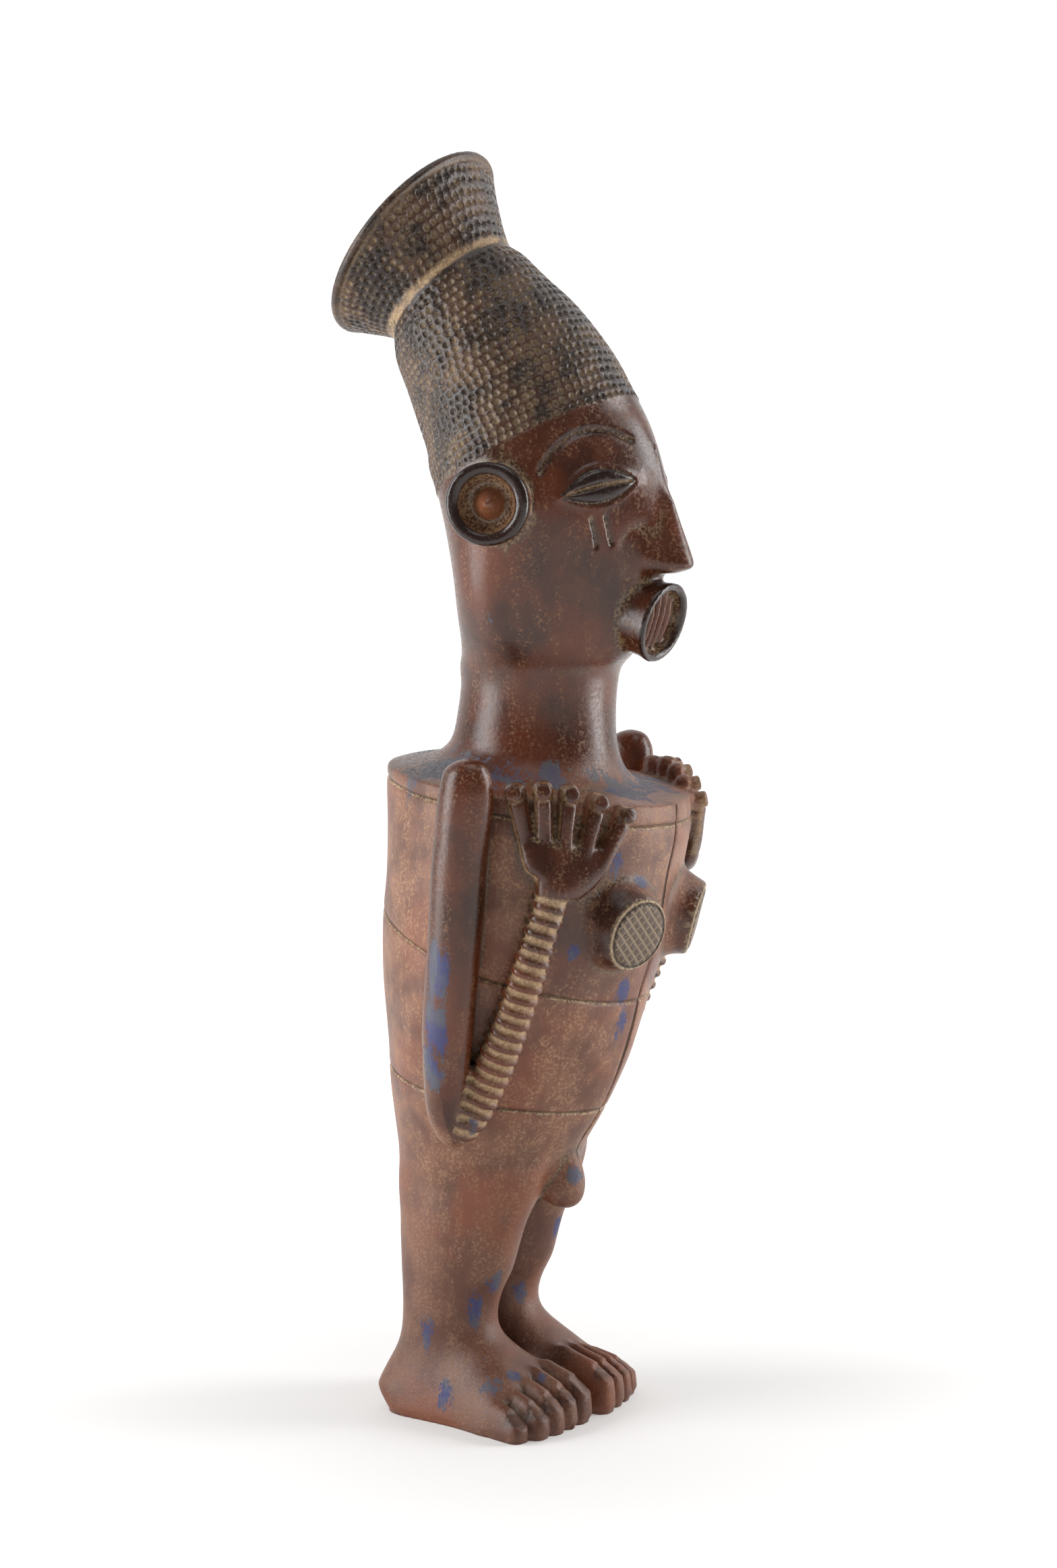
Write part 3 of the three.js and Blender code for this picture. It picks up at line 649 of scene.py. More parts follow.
def add_foot(side):
    high = LEFT_RISE if side > 0 else 1.0
    reach = LEFT_REACH if side > 0 else 0.0
    rows = np.array([[k, *row] for k, row in enumerate(FOOT)], float)
    rows[:, 1] *= -side
    rows[:, 4] *= high
    add_soled(rows, (0, -1), 60, 110, -side * CREST_LEAN)
    for k in range(5):
        rows = toe_rows(k, high, reach)
        rows[:, 1] *= -side
        add_soled(rows, rows[-1, 1:3] - rows[0, 1:3], 32, 60, 0.0, (0.8, 0.86))


both(add_foot)
print("forms", len(forms_in_clay), "with", sum(forms_in_clay), "faces")

# %% [markdown]
# ## Fusing the clay
# The forms overlap like coils pressed together. Boolean unions could join them, but they leave
# sharp seams and fail on near-touching faces. A voxel remesh turns them into one closed skin, and
# a few rounds of relaxing melt the joints the way a wet finger does.

# %% One closed skin
VOXEL = 0.0008
mesh = bpy.data.meshes.new("figure")
clay.to_mesh(mesh)
clay.free()
figure = bpy.data.objects.new("figure", mesh)
bpy.context.scene.collection.objects.link(figure)


def apply_modifier(kind, **settings):
    modifier = figure.modifiers.new(kind, kind)
    for name, value in settings.items():
        setattr(modifier, name, value)
    graph = bpy.context.evaluated_depsgraph_get()
    made = bpy.data.meshes.new_from_object(figure.evaluated_get(graph))
    figure.modifiers.clear()
    old = figure.data
    figure.data = made
    bpy.data.meshes.remove(old)
    print(kind, "gives", len(made.vertices), "points and", len(made.polygons), "faces")


apply_modifier("REMESH", mode="VOXEL", voxel_size=VOXEL, adaptivity=0.0, use_smooth_shade=True)


# %% Read and write points in the figure's own millimetres
def read(items, key, width, kind=float):
    data = np.empty(len(items) * width, kind)
    items.foreach_get(key, data)
    return data.reshape(-1, width)


def get_points():
    points = read(figure.data.vertices, "co", 3) / MM
    points[:, 1] += GROUND_SHIFT
    return points


def set_points(points):
    points = points.copy()
    points[:, 1] -= GROUND_SHIFT
    figure.data.vertices.foreach_set("co", (points * MM).ravel())
    figure.data.update()


def get_normals():
    return read(figure.data.vertex_normals, "vector", 3)


def get_edges():
    return read(figure.data.edges, "vertices", 2, np.int64)


def neighbour_mean(values, edges, count):
    total = np.zeros_like(values)
    for k in range(values.shape[1]):
        total[:, k] = np.bincount(edges[:, 0], values[edges[:, 1], k], len(values))
        total[:, k] += np.bincount(edges[:, 1], values[edges[:, 0], k], len(values))
    return total / count[:, None]


def relax(points, weight, rounds):
    edges = get_edges()
    edges = edges[(weight[edges] > 0.01).any(axis=1)]
    used, local = np.unique(edges, return_inverse=True)
    local = local.reshape(-1, 2)
    count = np.maximum(np.bincount(local.ravel(), minlength=len(used)), 1)
    moved, pull = points[used], weight[used][:, None]
    for _ in range(rounds):
        moved = moved + (neighbour_mean(moved, local, count) - moved) * pull
    points = points.copy()
    points[used] = moved
    return points


# %% Melt the joints
def ball(points, centre, radius, fade):
    return 1 - smooth(np.linalg.norm(points - centre, axis=1), radius, radius + fade)


points = get_points()
x, y, z = points.T
near_side = to_right(points)
neck = smooth(z, 254, 262) * (1 - smooth(z, 284, 296)) * (1 - smooth(np.hypot(x, y - 2), 40, 50))
hips = smooth(z, 72, 84) * (1 - smooth(z, 118, 128)) * (1 - ball(points, np.array([0, -10, 96]), 12, 5))
ankles = smooth(z, 9, 20) * (1 - smooth(z, 44, 60)) * smooth(y, -8, 4)
instep = smooth(z, 5, 9) * (1 - smooth(z, 30, 40)) * smooth(y, -9, -4) * (1 - smooth(y, 6, 12))
nose_side = ball(near_side, np.array([-9, -49, 358]), 16, 10) * (1 - smooth(-y, 54, 58))
chest = ball(near_side, DISC_CENTRE * MIRROR - DISC_AXIS * MIRROR * 13, 17, 5)
heavy = np.maximum.reduce([neck, hips, ankles, nose_side, chest * 0.6])
everywhere = np.full(len(points), 0.5)
for weight, rounds in [(heavy * 0.9, 40), (ankles * 0.95, 160), (instep * 0.9, 16), (everywhere, 2)]:
    points = relax(points, weight, rounds)
print("points that melt", int((heavy > 0.01).sum()))

# %% Round the heels and the edges of the soles
heel = (1 - smooth(points[:, 2], 0, 11)) * smooth(points[:, 1], 40, 62)
edge_low = 1 - smooth(points[:, 2], 0, 3.5)
foot_middle = np.where(points[:, 0] < 0, -20.0, 20.0)
points[:, 1] -= 6 * heel
points[:, 0] -= np.sign(points[:, 0] - foot_middle) * 0.9 * edge_low
points[:, 1] += 1.2 * edge_low * (1 - smooth(points[:, 1], -22, -8))
set_points(points)

# %% [markdown]
# ## Carving
# A blunt stick made the dimples and a knife the lines. Thousands of small cutters could be taken
# away with booleans, which is slow and brittle. Here each mark is a depth for every point, worked
# out from the same sections, and pressed in along the normal, so it follows the form.

# %% Planes that fan out over the coiffure
HAIR_FRONT, HAIR_BACK = np.array([-40.4, 405.0]), np.array([46.5, 357.0])
COLLAR_FRONT, COLLAR_BACK = np.array([15.4, 463.0]), np.array([58.2, 424.2])
RIM_FRONT = (RIM_CENTRE - RIM_BACK * RIM_RADIUS - RIM_UP * 4)[1:]
RIM_REAR = (RIM_CENTRE + RIM_BACK * RIM_RADIUS - RIM_UP * 4)[1:]
HAIR_PLANES = (HAIR_FRONT, HAIR_BACK, COLLAR_FRONT, COLLAR_BACK)
FLARE_PLANES = (COLLAR_FRONT + [3.0, 3.2], COLLAR_BACK + [3.2, 3.4], RIM_FRONT, RIM_REAR)


def fan(planes, t):
    """Front and back end of the plane at t between two planes, each given by its two ends."""
    front_a, back_a, front_b, back_b = planes
    return front_a + (front_b - front_a) * t, back_a + (back_b - back_a) * t


def fan_value(points, planes):
    """0 on the first plane, 1 on the second, smoothly fanned between them."""
    low = np.full(len(points), -0.6)
    high = np.full(len(points), 1.6)
    for _ in range(22):
        t = ((low + high) / 2)[:, None]
        front, back = fan(planes, t)
        run = back - front
        offset = points[:, 1:] - front
        above = run[:, 0] * offset[:, 1] - run[:, 1] * offset[:, 0] > 0
        low = np.where(above, t[:, 0], low)
        high = np.where(above, high, t[:, 0])
    return (low + high) / 2


def scatter(a, b, seed):
    """A repeatable number from 0 to 1 for each pair of whole numbers."""
    value = np.sin(a * 127.1 + b * 311.7 + seed * 74.7) * 43758.5453
    return value - np.floor(value)


# %% Dimples in rows round the coiffure
def dimples(points, planes, rows, pitch, seed):
    """Returns the row value and how deep in a dimple each point lies, 0 to 1."""
    value = fan_value(points, planes)
    row = np.floor(value * rows)
    front, back = fan(planes, ((row + 0.5) / rows)[:, None])
    middle = (front + back) / 2
    reach = np.linalg.norm(back - front, axis=1) / 2
    axis = (back - front) / (2 * reach)[:, None]
    across = np.einsum("ij,ij->i", points[:, 1:] - middle, axis)
    angle = np.arctan2(points[:, 0], -across)
    radius = np.hypot(points[:, 0], across)
    count = np.maximum(np.round(SPAN * reach * 1.02 / pitch), 6)
    step = angle / SPAN * count + 0.35 * np.sin(row * 1.7) + row * 0.08
    column = np.floor(step)
    du = (step - column - 0.5 + (scatter(row, column, seed) - 0.5) * 0.24) * (SPAN * radius / count)
    height = np.linalg.norm(planes[2] - planes[0]) / rows
    height_back = np.linalg.norm(planes[3] - planes[1]) / rows
    share = np.clip(0.5 + across / (2 * reach), 0, 1)
    dv = (value * rows - row - 0.5 + (scatter(column, row, seed + 3) - 0.5) * 0.2)
    dv = dv * (height + (height_back - height) * share)
    size = 0.40 * pitch * (0.88 + 0.24 * scatter(row, column, seed + 7))
    size = size * (0.94 - 0.14 * share)
    gap = np.hypot(du, dv) / size
    return value, np.clip(1 - gap**3, 0, 1) * (gap < 1)


# %% Hair, collar and dish
def coiffure_marks(points):
    """Hair, dimples, collar, the row value below the collar and the inside of the dish."""
    lower, dots = dimples(points, HAIR_PLANES, 21, 3.75, 1)
    upper, flare_dots = dimples(points, FLARE_PLANES, 7, 3.9, 5)
    on_head = points[:, 2] > 340
    behind_ear = 1 - ball(points, LEFT_EAR_CENTRE, 17, 2)
    behind_ear *= 1 - ball(points, EAR_CENTRE * MIRROR, 17, 2)
    hair = smooth(lower, -0.006, 0.012) * on_head
    rim_side, spread = round_axis(points, RIM_CENTRE, RIM_UP)
    dish_edge = 28 + 14 * np.clip((rim_side + 16) / 16, 0, 1)
    is_inside = (spread < dish_edge - 4.2) & (rim_side > -10)
    collar_low = smooth(lower, 0.985, 1.0)
    collar_high = smooth(upper, -0.02, 0.02)
    collar = collar_low * (1 - collar_high) * on_head
    pits = dots * (lower > 0) * (lower < 0.985)
    on_flare = (upper > 0.02) * (upper < 1.0) * (lower > 1.0) * ~is_inside
    pits = np.maximum(pits, flare_dots * on_flare) * on_head
    return hair * behind_ear, pits * behind_ear, collar * ~is_inside, lower, is_inside


# %% Closeness to planes, paths and the torso
def plane_line(points, height, tilt, width):
    gap = np.abs(points[:, 2] - height - tilt * points[:, 1]) / np.hypot(1, tilt)
    return bell(gap, width)


def on_skin(points, path):
    """The path as a smooth run of points that lie on the skin."""
    path = np.asarray(path, float)
    path = along(np.column_stack([np.arange(len(path)), path]), np.linspace(0, len(path) - 1, 24))
    close = points[np.linalg.norm(points - path.mean(0), axis=1) < 45]
    return np.array([close[np.argsort(np.linalg.norm(close - p, axis=1))[:4]].mean(0) for p in path])


def path_line(points, path, width):
    """Closeness to a path of points, 1 on the path."""
    path = on_skin(points, path)
    best = np.full(len(points), 1e9)
    near = np.where(np.linalg.norm(points - path.mean(0), axis=1) < 45)[0]
    for a, b in zip(path, path[1:]):
        run = b - a
        t = np.clip(((points[near] - a) @ run) / max(run @ run, 1e-6), 0, 1)
        gap = np.linalg.norm(points[near] - a - t[:, None] * run, axis=1)
        best[near] = np.minimum(best[near], gap)
    return bell(best, width)


def torso_level(points):
    """1 on the skin of the torso, more outside it."""
    x, y, z = points.T
    half, front, back, power = along(TORSO, z).T
    middle = (front + back) / 2
    n = np.where(y < middle, power, 2.0)
    return (np.abs(x) / half) ** n + (np.abs(y - middle) / ((back - front) / 2)) ** n


# %% Incised lines, brow and cheek
BROW = [[-41.6, -21.3, 376], [-39.8, -23, 380.1], [-37.4, -25.2, 383.9], [-32.4, -29.5, 389.2],
        [-27.3, -33.8, 391.5], [-19.5, -39.7, 391.5], [-12.2, -45.1, 388.4]]
CHEEK_MARKS = [[[-29.5, -37, 357.6], [-28.4, -38, 352], [-27.1, -38.1, 347.1]],
               [[-25.2, -41.1, 358.4], [-24, -42, 353], [-22.6, -42.5, 347.8]]]
GOUGE = [[-36.5, -49.8, 226], [-38, -48.8, 223.4], [-39, -48, 220.5], [-40.2, -47.2, 216.5]]
ALAR_CREASE = [[-13.5, -52.5, 354.5], [-16.6, -49, 352.8], [-18.6, -46.4, 349], [-18.4, -45.4, 342.5],
               [-15.6, -46, 335.5]]
ALAR_WING = [-12.0, -53.5, 343.5]
TORSO_LINES = [[130.0, 0.2], [185.0, 0.36], [248.5, 0.15]]


def line_marks(points):
    x, y, z = points.T
    near_side = to_right(points)
    on_torso = (z > 100) * (z < 262) * (1 - smooth(torso_level(points), 1.06, 1.12))
    rings = np.zeros(len(points))
    for height, tilt in TORSO_LINES:
        wobble = 0.35 * np.sin(np.arctan2(y, x) * 5 + height)
        rings = np.maximum(rings, plane_line(points - [0, 0, 1] * wobble[:, None], height, tilt, 0.75))
    rings *= on_torso
    middle_line = bell(x - 0.4 * np.sin(z / 9), 0.75) * (y < 0)
    middle_line = middle_line * smooth(z, 110, 116) * (1 - smooth(z, 246.5, 247.5)) * on_torso
    height, spread = round_axis(near_side, DISC_CENTRE * MIRROR, DISC_AXIS * MIRROR)
    on_disc = (np.abs(height) < 2.2) * (spread < 15)
    rim = bell(spread - 12.9, 0.6) * on_disc
    brow = path_line(near_side, BROW, 1.35)
    marks = path_line(points, GOUGE, 0.7)
    for mark in CHEEK_MARKS:
        marks = np.maximum(marks, path_line(near_side, mark, 0.8))
    alar = path_line(near_side, ALAR_CREASE, 2.2)
    wing = 1 - smooth(np.linalg.norm((near_side - ALAR_WING) * [1, 1, 0.8], axis=1), 0.5, 7.5)
    wing *= near_side[:, 1] < -44
    lip_side = (points - RIM_CENTRE) @ RIM_UP
    lip_line = bell(lip_side + 3.6, 0.55) * (np.linalg.norm(points - RIM_CENTRE, axis=1) > 36)
    return {"torso": on_torso, "rings": rings, "middle": middle_line, "rim": rim, "disc": on_disc * 1.0,
            "brow": brow, "marks": marks, "lip": lip_line, "alar": alar, "wing": wing}


# %% Ring cuts on the forearms
def rib_marks(points):
    """The ring cuts round both forearms, 1 in the middle of a cut."""
    near_side = to_right(points)
    marks = np.zeros(len(points))
    rows = keyed(FOREARM, -1)
    samples = along(rows, np.linspace(0, rows[-1, 0], 400))[:, :3]
    close = np.where(np.linalg.norm(near_side - [-55, -12, 165], axis=1) < 62)[0]
    for start in range(0, len(close), 4000):
        part = close[start:start + 4000]
        gaps = np.linalg.norm(near_side[part][:, None, :] - samples[None], axis=2)
        best = gaps.argmin(1)
        phase = best / 399 * RIB_COUNT
        cut = bell(phase - np.round(phase), 0.25, 4)
        reach = gaps[np.arange(len(part)), best]
        marks[part] = cut * (1 - smooth(reach, 8.8, 9.8)) * (best < 388) * (best > 3)
    return marks


# %% Cuts round the eyes
def eye_frame(points):
    """How far along and across the almond each point lies, from -1 to 1."""
    outer, inner, _, up = eye_axes(-1)
    offset = to_right(points) - (outer + inner) / 2
    share = offset @ unit(inner - outer) / (np.linalg.norm(inner - outer) / 2)
    tall = EYE_HEIGHT * np.clip(1 - np.abs(share) ** 1.9, 0.02, 1)
    across = offset @ up - EYE_BOW * (1 - share**2)
    close = (np.linalg.norm(offset, axis=1) < 20) * 1.0
    return share, across, tall, close


def eye_marks(points):
    """The slit between the two lobes of an eye, the cut round them and the inside."""
    share, across, tall, close = eye_frame(points)
    inside = close * (np.abs(share) < 0.93) * (1 - smooth(np.abs(across) / tall, 0.78, 0.9))
    slit = bell(across, 0.6) * close * (1 - smooth(np.abs(share), 0.8, 0.93))
    rim = bell(np.abs(across) - tall * 0.84, 0.6) * close * (np.abs(share) < 0.95)
    lid = bell(np.abs(across) - tall * 1.02 - 0.3, 0.75) * close * (np.abs(share) < 1.04)
    return slit, rim, lid, inside


# %% Nails
def nail_marks(points):
    """The flat of each nail and the cut round it."""
    near_side = to_right(points)
    flats, cuts = np.zeros(len(points)), np.zeros(len(points))
    places = [(*place, 3.4, None) for place in finger_nails()]
    places += [(*place, 3.0, points[:, 0] < 0) for place in toe_nails(1.0, 0.0)]
    places += [(*place, 3.0, points[:, 0] > 0) for place in toe_nails(LEFT_RISE, LEFT_REACH)]
    for centre, axis, radius, where in places:
        height, spread = round_axis(near_side, centre, axis)
        close = (np.abs(height) < 4.5) * (1.0 if where is None else where)
        flats = np.maximum(flats, close * (1 - smooth(spread, radius - 0.5, radius + 0.2)))
        cuts = np.maximum(cuts, close * bell(spread - radius - 0.5, 0.55))
    return flats, cuts


# %% The slow unevenness of handwork
def waves(points, seed, low, high, count=28):
    rng = np.random.default_rng(seed)
    total = np.zeros(len(points))
    for _ in range(count):
        run = unit(rng.normal(size=3))
        length = rng.uniform(low, high)
        total += np.sin(points @ run * SPAN / length + rng.uniform(0, SPAN))
    return total / np.sqrt(count / 2)


# %% Press the marks in
NAIL_REACH, NAIL_DEPTH = 5, 0.9
points, normals = get_points(), get_normals()
hair, pits, collar, lower, is_inside = coiffure_marks(points)
lines = line_marks(points)
flats, nail_cuts = nail_marks(points)
slit, eye_rim, eye_lid, in_eye = eye_marks(points)
ribs = rib_marks(points)

# Depths are in millimetres, and a minus raises the clay.
depth = 1.15 * pits
depth += 1.2 * slit + 0.9 * eye_rim - 0.3 * eye_lid
depth += 0.7 * ribs
depth += 1.05 * np.maximum(lines["rings"], lines["middle"])
depth += 0.7 * lines["rim"]
depth += 1.6 * lines["brow"] + 1.1 * lines["marks"] + 0.8 * lines["lip"] * ~is_inside
depth += 0.7 * lines["alar"] - 1.1 * lines["wing"]
depth += (0.45 + 0.25 * (points[:, 2] > 200)) * nail_cuts
depth -= 0.7 * hair * (0.3 + 0.7 * np.exp(-np.maximum(lower, 0) / 0.04)) * (points[:, 2] > 340)
depth += 0.16 * waves(points, 4, 18, 60) * smooth(points[:, 2], 1, 6) * (1 - hair)
points -= normals * depth[:, None]
for flip, high, reach in [([1, 1, 1], 1.0, 0.0), (MIRROR, LEFT_RISE, LEFT_REACH)]:
    for centre, axis in toe_nails(high, reach):
        offset = points - centre * flip
        near = np.linalg.norm(offset, axis=1) < NAIL_REACH
        above = np.maximum(offset @ (axis * flip) + NAIL_DEPTH, 0)
        points -= np.outer(above * near, axis * flip)
points[:, 2] = np.where(points[:, 2] < 0.6, 0.0, points[:, 2])
set_points(points)
print("marks pressed in up to", round(float(depth.max()), 2), "mm")

# %% Thin the skin where it is plain
# The skin is thinned to about 196,000 triangles. A piece stays under 200,000 triangles.
TRIANGLES = 196000
faces = sum(len(polygon.vertices) - 2 for polygon in figure.data.polygons)
apply_modifier("DECIMATE", ratio=TRIANGLES / faces)

# %% [markdown]
# ## Colour masks
# The finish changes over the figure, so each point stores what it is: hair, dimple, beige infill,
# black slip, blue paint, rubbed red-brown skin and how sheltered it is. How sheltered it is gives
# painted shade and dust in the hollows, and the black mask also holds painted shade in the toenail
# cuts. Painted images would need an unwrapped surface. Attributes need none, and come from the same
# rules that carved the marks.

# %% Masks for the finish
points, normals = get_points(), get_normals()
x, y, z = points.T
near_side = to_right(points)
hair, pits, collar, lower, is_inside = coiffure_marks(points)
lines = line_marks(points)
flats, nail_cuts = nail_marks(points)

# %% How sheltered each point is
# How far each point lies below its blurred neighbours; the finish darkens these hollows as painted shade.
SHELTER_ROUNDS, SHELTER_DEPTH = 14, 0.9
edges = get_edges()
count = np.maximum(np.bincount(edges.ravel(), minlength=len(points)), 1)
blurred = points
for _ in range(SHELTER_ROUNDS):
    blurred = neighbour_mean(blurred, edges, count)
shelter = np.einsum("ij,ij->i", blurred - points, normals)
shelter = np.clip(shelter / SHELTER_DEPTH, -1, 1)
print("sheltered share", round(float((shelter > 0.2).mean()), 3))

# %% Black rings and clay cups
own_ear = np.where((x < 0)[:, None], EAR_CENTRE, LEFT_EAR_CENTRE) * MIRROR
ear_height, ear_spread = round_axis(near_side, own_ear, EAR_AXIS * MIRROR)
ear_ring = (ear_height > -9) * (ear_spread < 17.2) * smooth(ear_spread, 9.9, 10.8)
ear_cup = (ear_height > -7) * (1 - smooth(ear_spread, 10.6, 11.4))
mouth_height, mouth_spread = round_axis(points, MOUTH_CENTRE, MOUTH_AXIS)
mouth_ring = smooth(mouth_height, -2.6, -0.8) * (mouth_spread < 17) * smooth(mouth_spread, 11, 12)
mouth_cup = (mouth_height > -6.5) * (1 - smooth(mouth_spread, 11.2, 12))
eye_slit, _, _, in_eye = eye_marks(points)

# %% Black slip, painted shade in the toenail cuts and beige infill
# The toenail cuts are darkened here as painted shade; the rest of this mask is black slip.
black = np.maximum.reduce([ear_ring * 0.9, mouth_ring * 0.85, lines["brow"] * 0.9, lines["marks"] * 0.95,
                           in_eye * (1 - eye_slit) * 0.9, 0.7 * nail_cuts * (z < 60)])
band = collar * smooth(lower, 1.014, 1.022)
fill = np.maximum.reduce([band * 0.9, eye_slit * 0.55, lines["lip"] * 0.4, nail_cuts * 0.35 * (z > 200)])
ribs = rib_marks(points)
level = torso_level(points)
raised = smooth(level, 1.07, 1.14) * (z < 264) * (z > 206) * (near_side[:, 0] < -18) * (near_side[:, 0] > -66)
HAND_OUT = unit([-0.74, -0.67, 0])
hand = raised * (near_side @ HAND_OUT > 58)
near_normals = np.where((x < 0)[:, None], normals, normals * MIRROR)
facing = np.abs(near_normals @ HAND_OUT)
fill = np.maximum(fill, 0.6 * hand * (1 - smooth(facing, 0.2, 0.6)) * (z < 258) * (z > 222))

# %% Remains of blue paint
PAINT = [
    # x, y, z, radius, stretch upwards, strength
    [0, -5, 259, 62, 0.12, 0.6], [-15, -9, 80, 5, 2, 0.85], [-19, -3, 71, 4, 1.6, 0.8],
    [-40, 20, 258, 22, 1, 0.75], [-40, -6, 260, 14, 1, 0.7], [4, -44, 258, 16, 1, 0.7],
    [36, -30, 258, 16, 1, 0.75], [40, 6, 262, 18, 1, 0.7], [0, 48, 264, 24, 1, 0.65],
    [-52, -6, 256, 9, 1, 0.7], [-30, -20, 258, 12, 1, 0.7], [-8, -44, 256, 15, 1, 0.85],
    [20, -40, 256, 16, 1, 0.8], [-12, -36, 263, 9, 1, 0.7], [-30, -46, 229, 7, 1.7, 0.9],
    [-20, -52, 218, 6, 1, 0.9], [-26, -54, 212, 4, 1, 0.7], [-42, -36, 193, 5, 1.2, 0.8],
    [-79, 4, 186, 8, 2.2, 0.9], [-76, 6, 164, 8, 2.4, 0.9], [-70, 10, 148, 7, 2, 0.8],
    [-52, 2, 128, 6, 1.6, 0.8], [-12, -42, 176, 6, 2, 0.8], [-8, -40, 160, 5, 3, 0.7],
    [-4, -19, 98, 6, 1, 0.85], [-18, -2, 66, 5, 2.2, 0.8], [-24, 8, 55, 6, 1.6, 0.7],
    [-28, 14, 44, 6, 2, 0.75], [-34, 34, 34, 8, 1.6, 0.6], [-38, 24, 12, 7, 1.3, 0.95],
    [-36, 2, 16, 8, 1, 0.75], [-29, -3, 20, 5, 1, 0.85], [-22, -11, 19, 4.5, 1, 0.85],
    [-30, 10, 24, 5, 1, 0.7], [-36, 40, 24, 6, 1.6, 0.65], [17, -1, 70, 5, 1.6, 0.9],
    [8, 12, 44, 6, 1.4, 0.8], [70, -36, 232, 9, 2, 0.9], [66, -42, 222, 7, 1.4, 0.8],
    [-24, -60, 204, 6, 1.6, 0.5], [-41, 0, 319, 1.6, 1, 0.8],
]
blue = np.zeros(len(points))
for px, py, pz, radius, stretch, strength in PAINT:
    gap = np.linalg.norm((points - [px, py, pz]) / [1, 1, stretch], axis=1)
    blue = np.maximum(blue, strength * (1 - smooth(gap, radius * 0.2, radius * 1.3)))

print("share with paint", round(float((blue > 0.5).mean()), 3))

# %% Burnished skin
face = smooth(z, 250, 272) * (1 - hair)
arm_sheen = smooth(-near_side[:, 0], 62, 66) * smooth(z, 112, 130) * (z < 270)
forearm = smooth(level, 1.12, 1.2) * (z > 118) * (z < 212)
forearm = forearm * (near_side[:, 1] < 8) * (near_side[:, 0] > -68) * (1 - ribs)
from_hand = np.linalg.norm((near_side - [-38, -42, 205]) * [1, 1, 0.7], axis=1)
below_hand = (1 - smooth(from_hand, 14, 30)) * (z < 250)
arms = (0.6 + 0.3 * smooth(z, 150, 210)) * arm_sheen + 0.7 * forearm
red = np.clip(face + arms + 1.2 * hand + 0.5 * below_hand, 0, 1)
red = np.where(lines["disc"] > 0.5, 0, red) * (1 - 0.1 * flats * (z > 200))


# %% Store the masks on the mesh
def store(name, *masks):
    """Four masks as one colour attribute."""
    layer = figure.data.attributes.new(name, "FLOAT_COLOR", "POINT")
    layer.data.foreach_set("color", np.column_stack(masks).astype(np.float32).ravel())
    print(name, "means", [round(float(np.mean(mask)), 3) for mask in masks])


# The black mask also holds painted shade in the toenail cuts.
store("slip", hair, pits, black, fill)
cup = np.maximum.reduce([is_inside * 1.0, ear_cup, mouth_cup * 0.6])
# The third mask, how sheltered a point is, drives painted shade in the hollows and the dust in them.
store("wear_and_shade", blue, red, np.clip(shelter * 0.5 + 0.5, 0, 1), cup)
store("place", lines["torso"], lines["disc"], ribs, np.ones(len(points)))

# %% [markdown]
# ## The finish
# One clay body in a few states: dusty brown, burnished red-brown, black-brown slip on the hair
# and rings, beige earth caught in the cuts and remains of blue paint. Painted shade darkens the
# hollows and the toenail cuts, and a painted highlight lightens the border of the chest discs.
# Separate materials would meet in hard edges, so one material blends them all by the masks.


# %% Shader maths as Python expressions
class Value:
    """Wraps a node socket, so that an expression on values adds its Math nodes."""

    def __init__(self, tree, socket):
        self.tree = tree
        self.socket = socket

    def math(self, operation, other=None, swap=False):
        node = self.tree.nodes.new("ShaderNodeMath")
        node.operation = operation
        pair = [self, other] if not swap else [other, self]
        for slot, item in zip(node.inputs, pair):
            if isinstance(item, Value):
                self.tree.links.new(item.socket, slot)
            elif item is not None:
                slot.default_value = item
        return Value(self.tree, node.outputs[0])

    def __add__(self, other):
        return self.math("ADD", other)

    def __radd__(self, other):
        return self.math("ADD", other)

    def __sub__(self, other):
        return self.math("SUBTRACT", other)

    def __rsub__(self, other):
        return self.math("SUBTRACT", other, swap=True)

    def __mul__(self, other):
        return self.math("MULTIPLY", other)

    def __rmul__(self, other):
        return self.math("MULTIPLY", other)

    def at_least(self, other):
        return self.math("MAXIMUM", other)

    def size(self):
        return self.math("ABSOLUTE")

    def root(self):
        return self.math("SQRT")

    def nearest(self):
        """Distance to the nearest whole number."""
        return (self.math("FRACT") - 0.5).size() * -1 + 0.5

    def clipped(self):
        return self.math("MINIMUM", 1.0).math("MAXIMUM", 0.0)


# %% One method for every kind of node
class Finish:
    """The node tree of a material or a world, with one method for every kind of node."""

    def __init__(self, owner):
        owner.use_nodes = True
        self.tree = owner.node_tree
        self.tree.nodes.clear()

    def node(self, kind, out=0, settings=None, **sockets):
        """Sockets are named, with _ for a space, or numbered as i0, i1 and so on."""
        node = self.tree.nodes.new("ShaderNode" + kind)
        for key, value in (settings or {}).items():
            setattr(node, key, value)
        for key, value in sockets.items():
            slot = node.inputs[int(key[1:]) if key[1:].isdigit() else key.replace("_", " ")]
            if isinstance(value, Value):
                self.tree.links.new(value.socket, slot)
            else:
                slot.default_value = value
        self.last = node
        return self.also(out) if node.outputs else None

    def also(self, out):
        """Another output of the node made last."""
        return Value(self.tree, self.last.outputs[out])

    def mix(self, factor, first, second):
        settings = {"data_type": "RGBA", "clamp_factor": True}
        return self.node("Mix", 2, settings, i0=factor, i6=first, i7=second)

    def noise(self, place, scale, detail=4.0, rough=0.55):
        return self.node("TexNoise", Vector=place, Scale=scale, Detail=detail, Roughness=rough)

    def ramp(self, value, low, high, start=0.0, end=1.0):
        """A smooth climb from the start to the end between two values."""
        return self.node("MapRange", 0, {"interpolation_type": "SMOOTHSTEP"}, Value=value,
                         From_Min=low, From_Max=high, To_Min=start, To_Max=end)


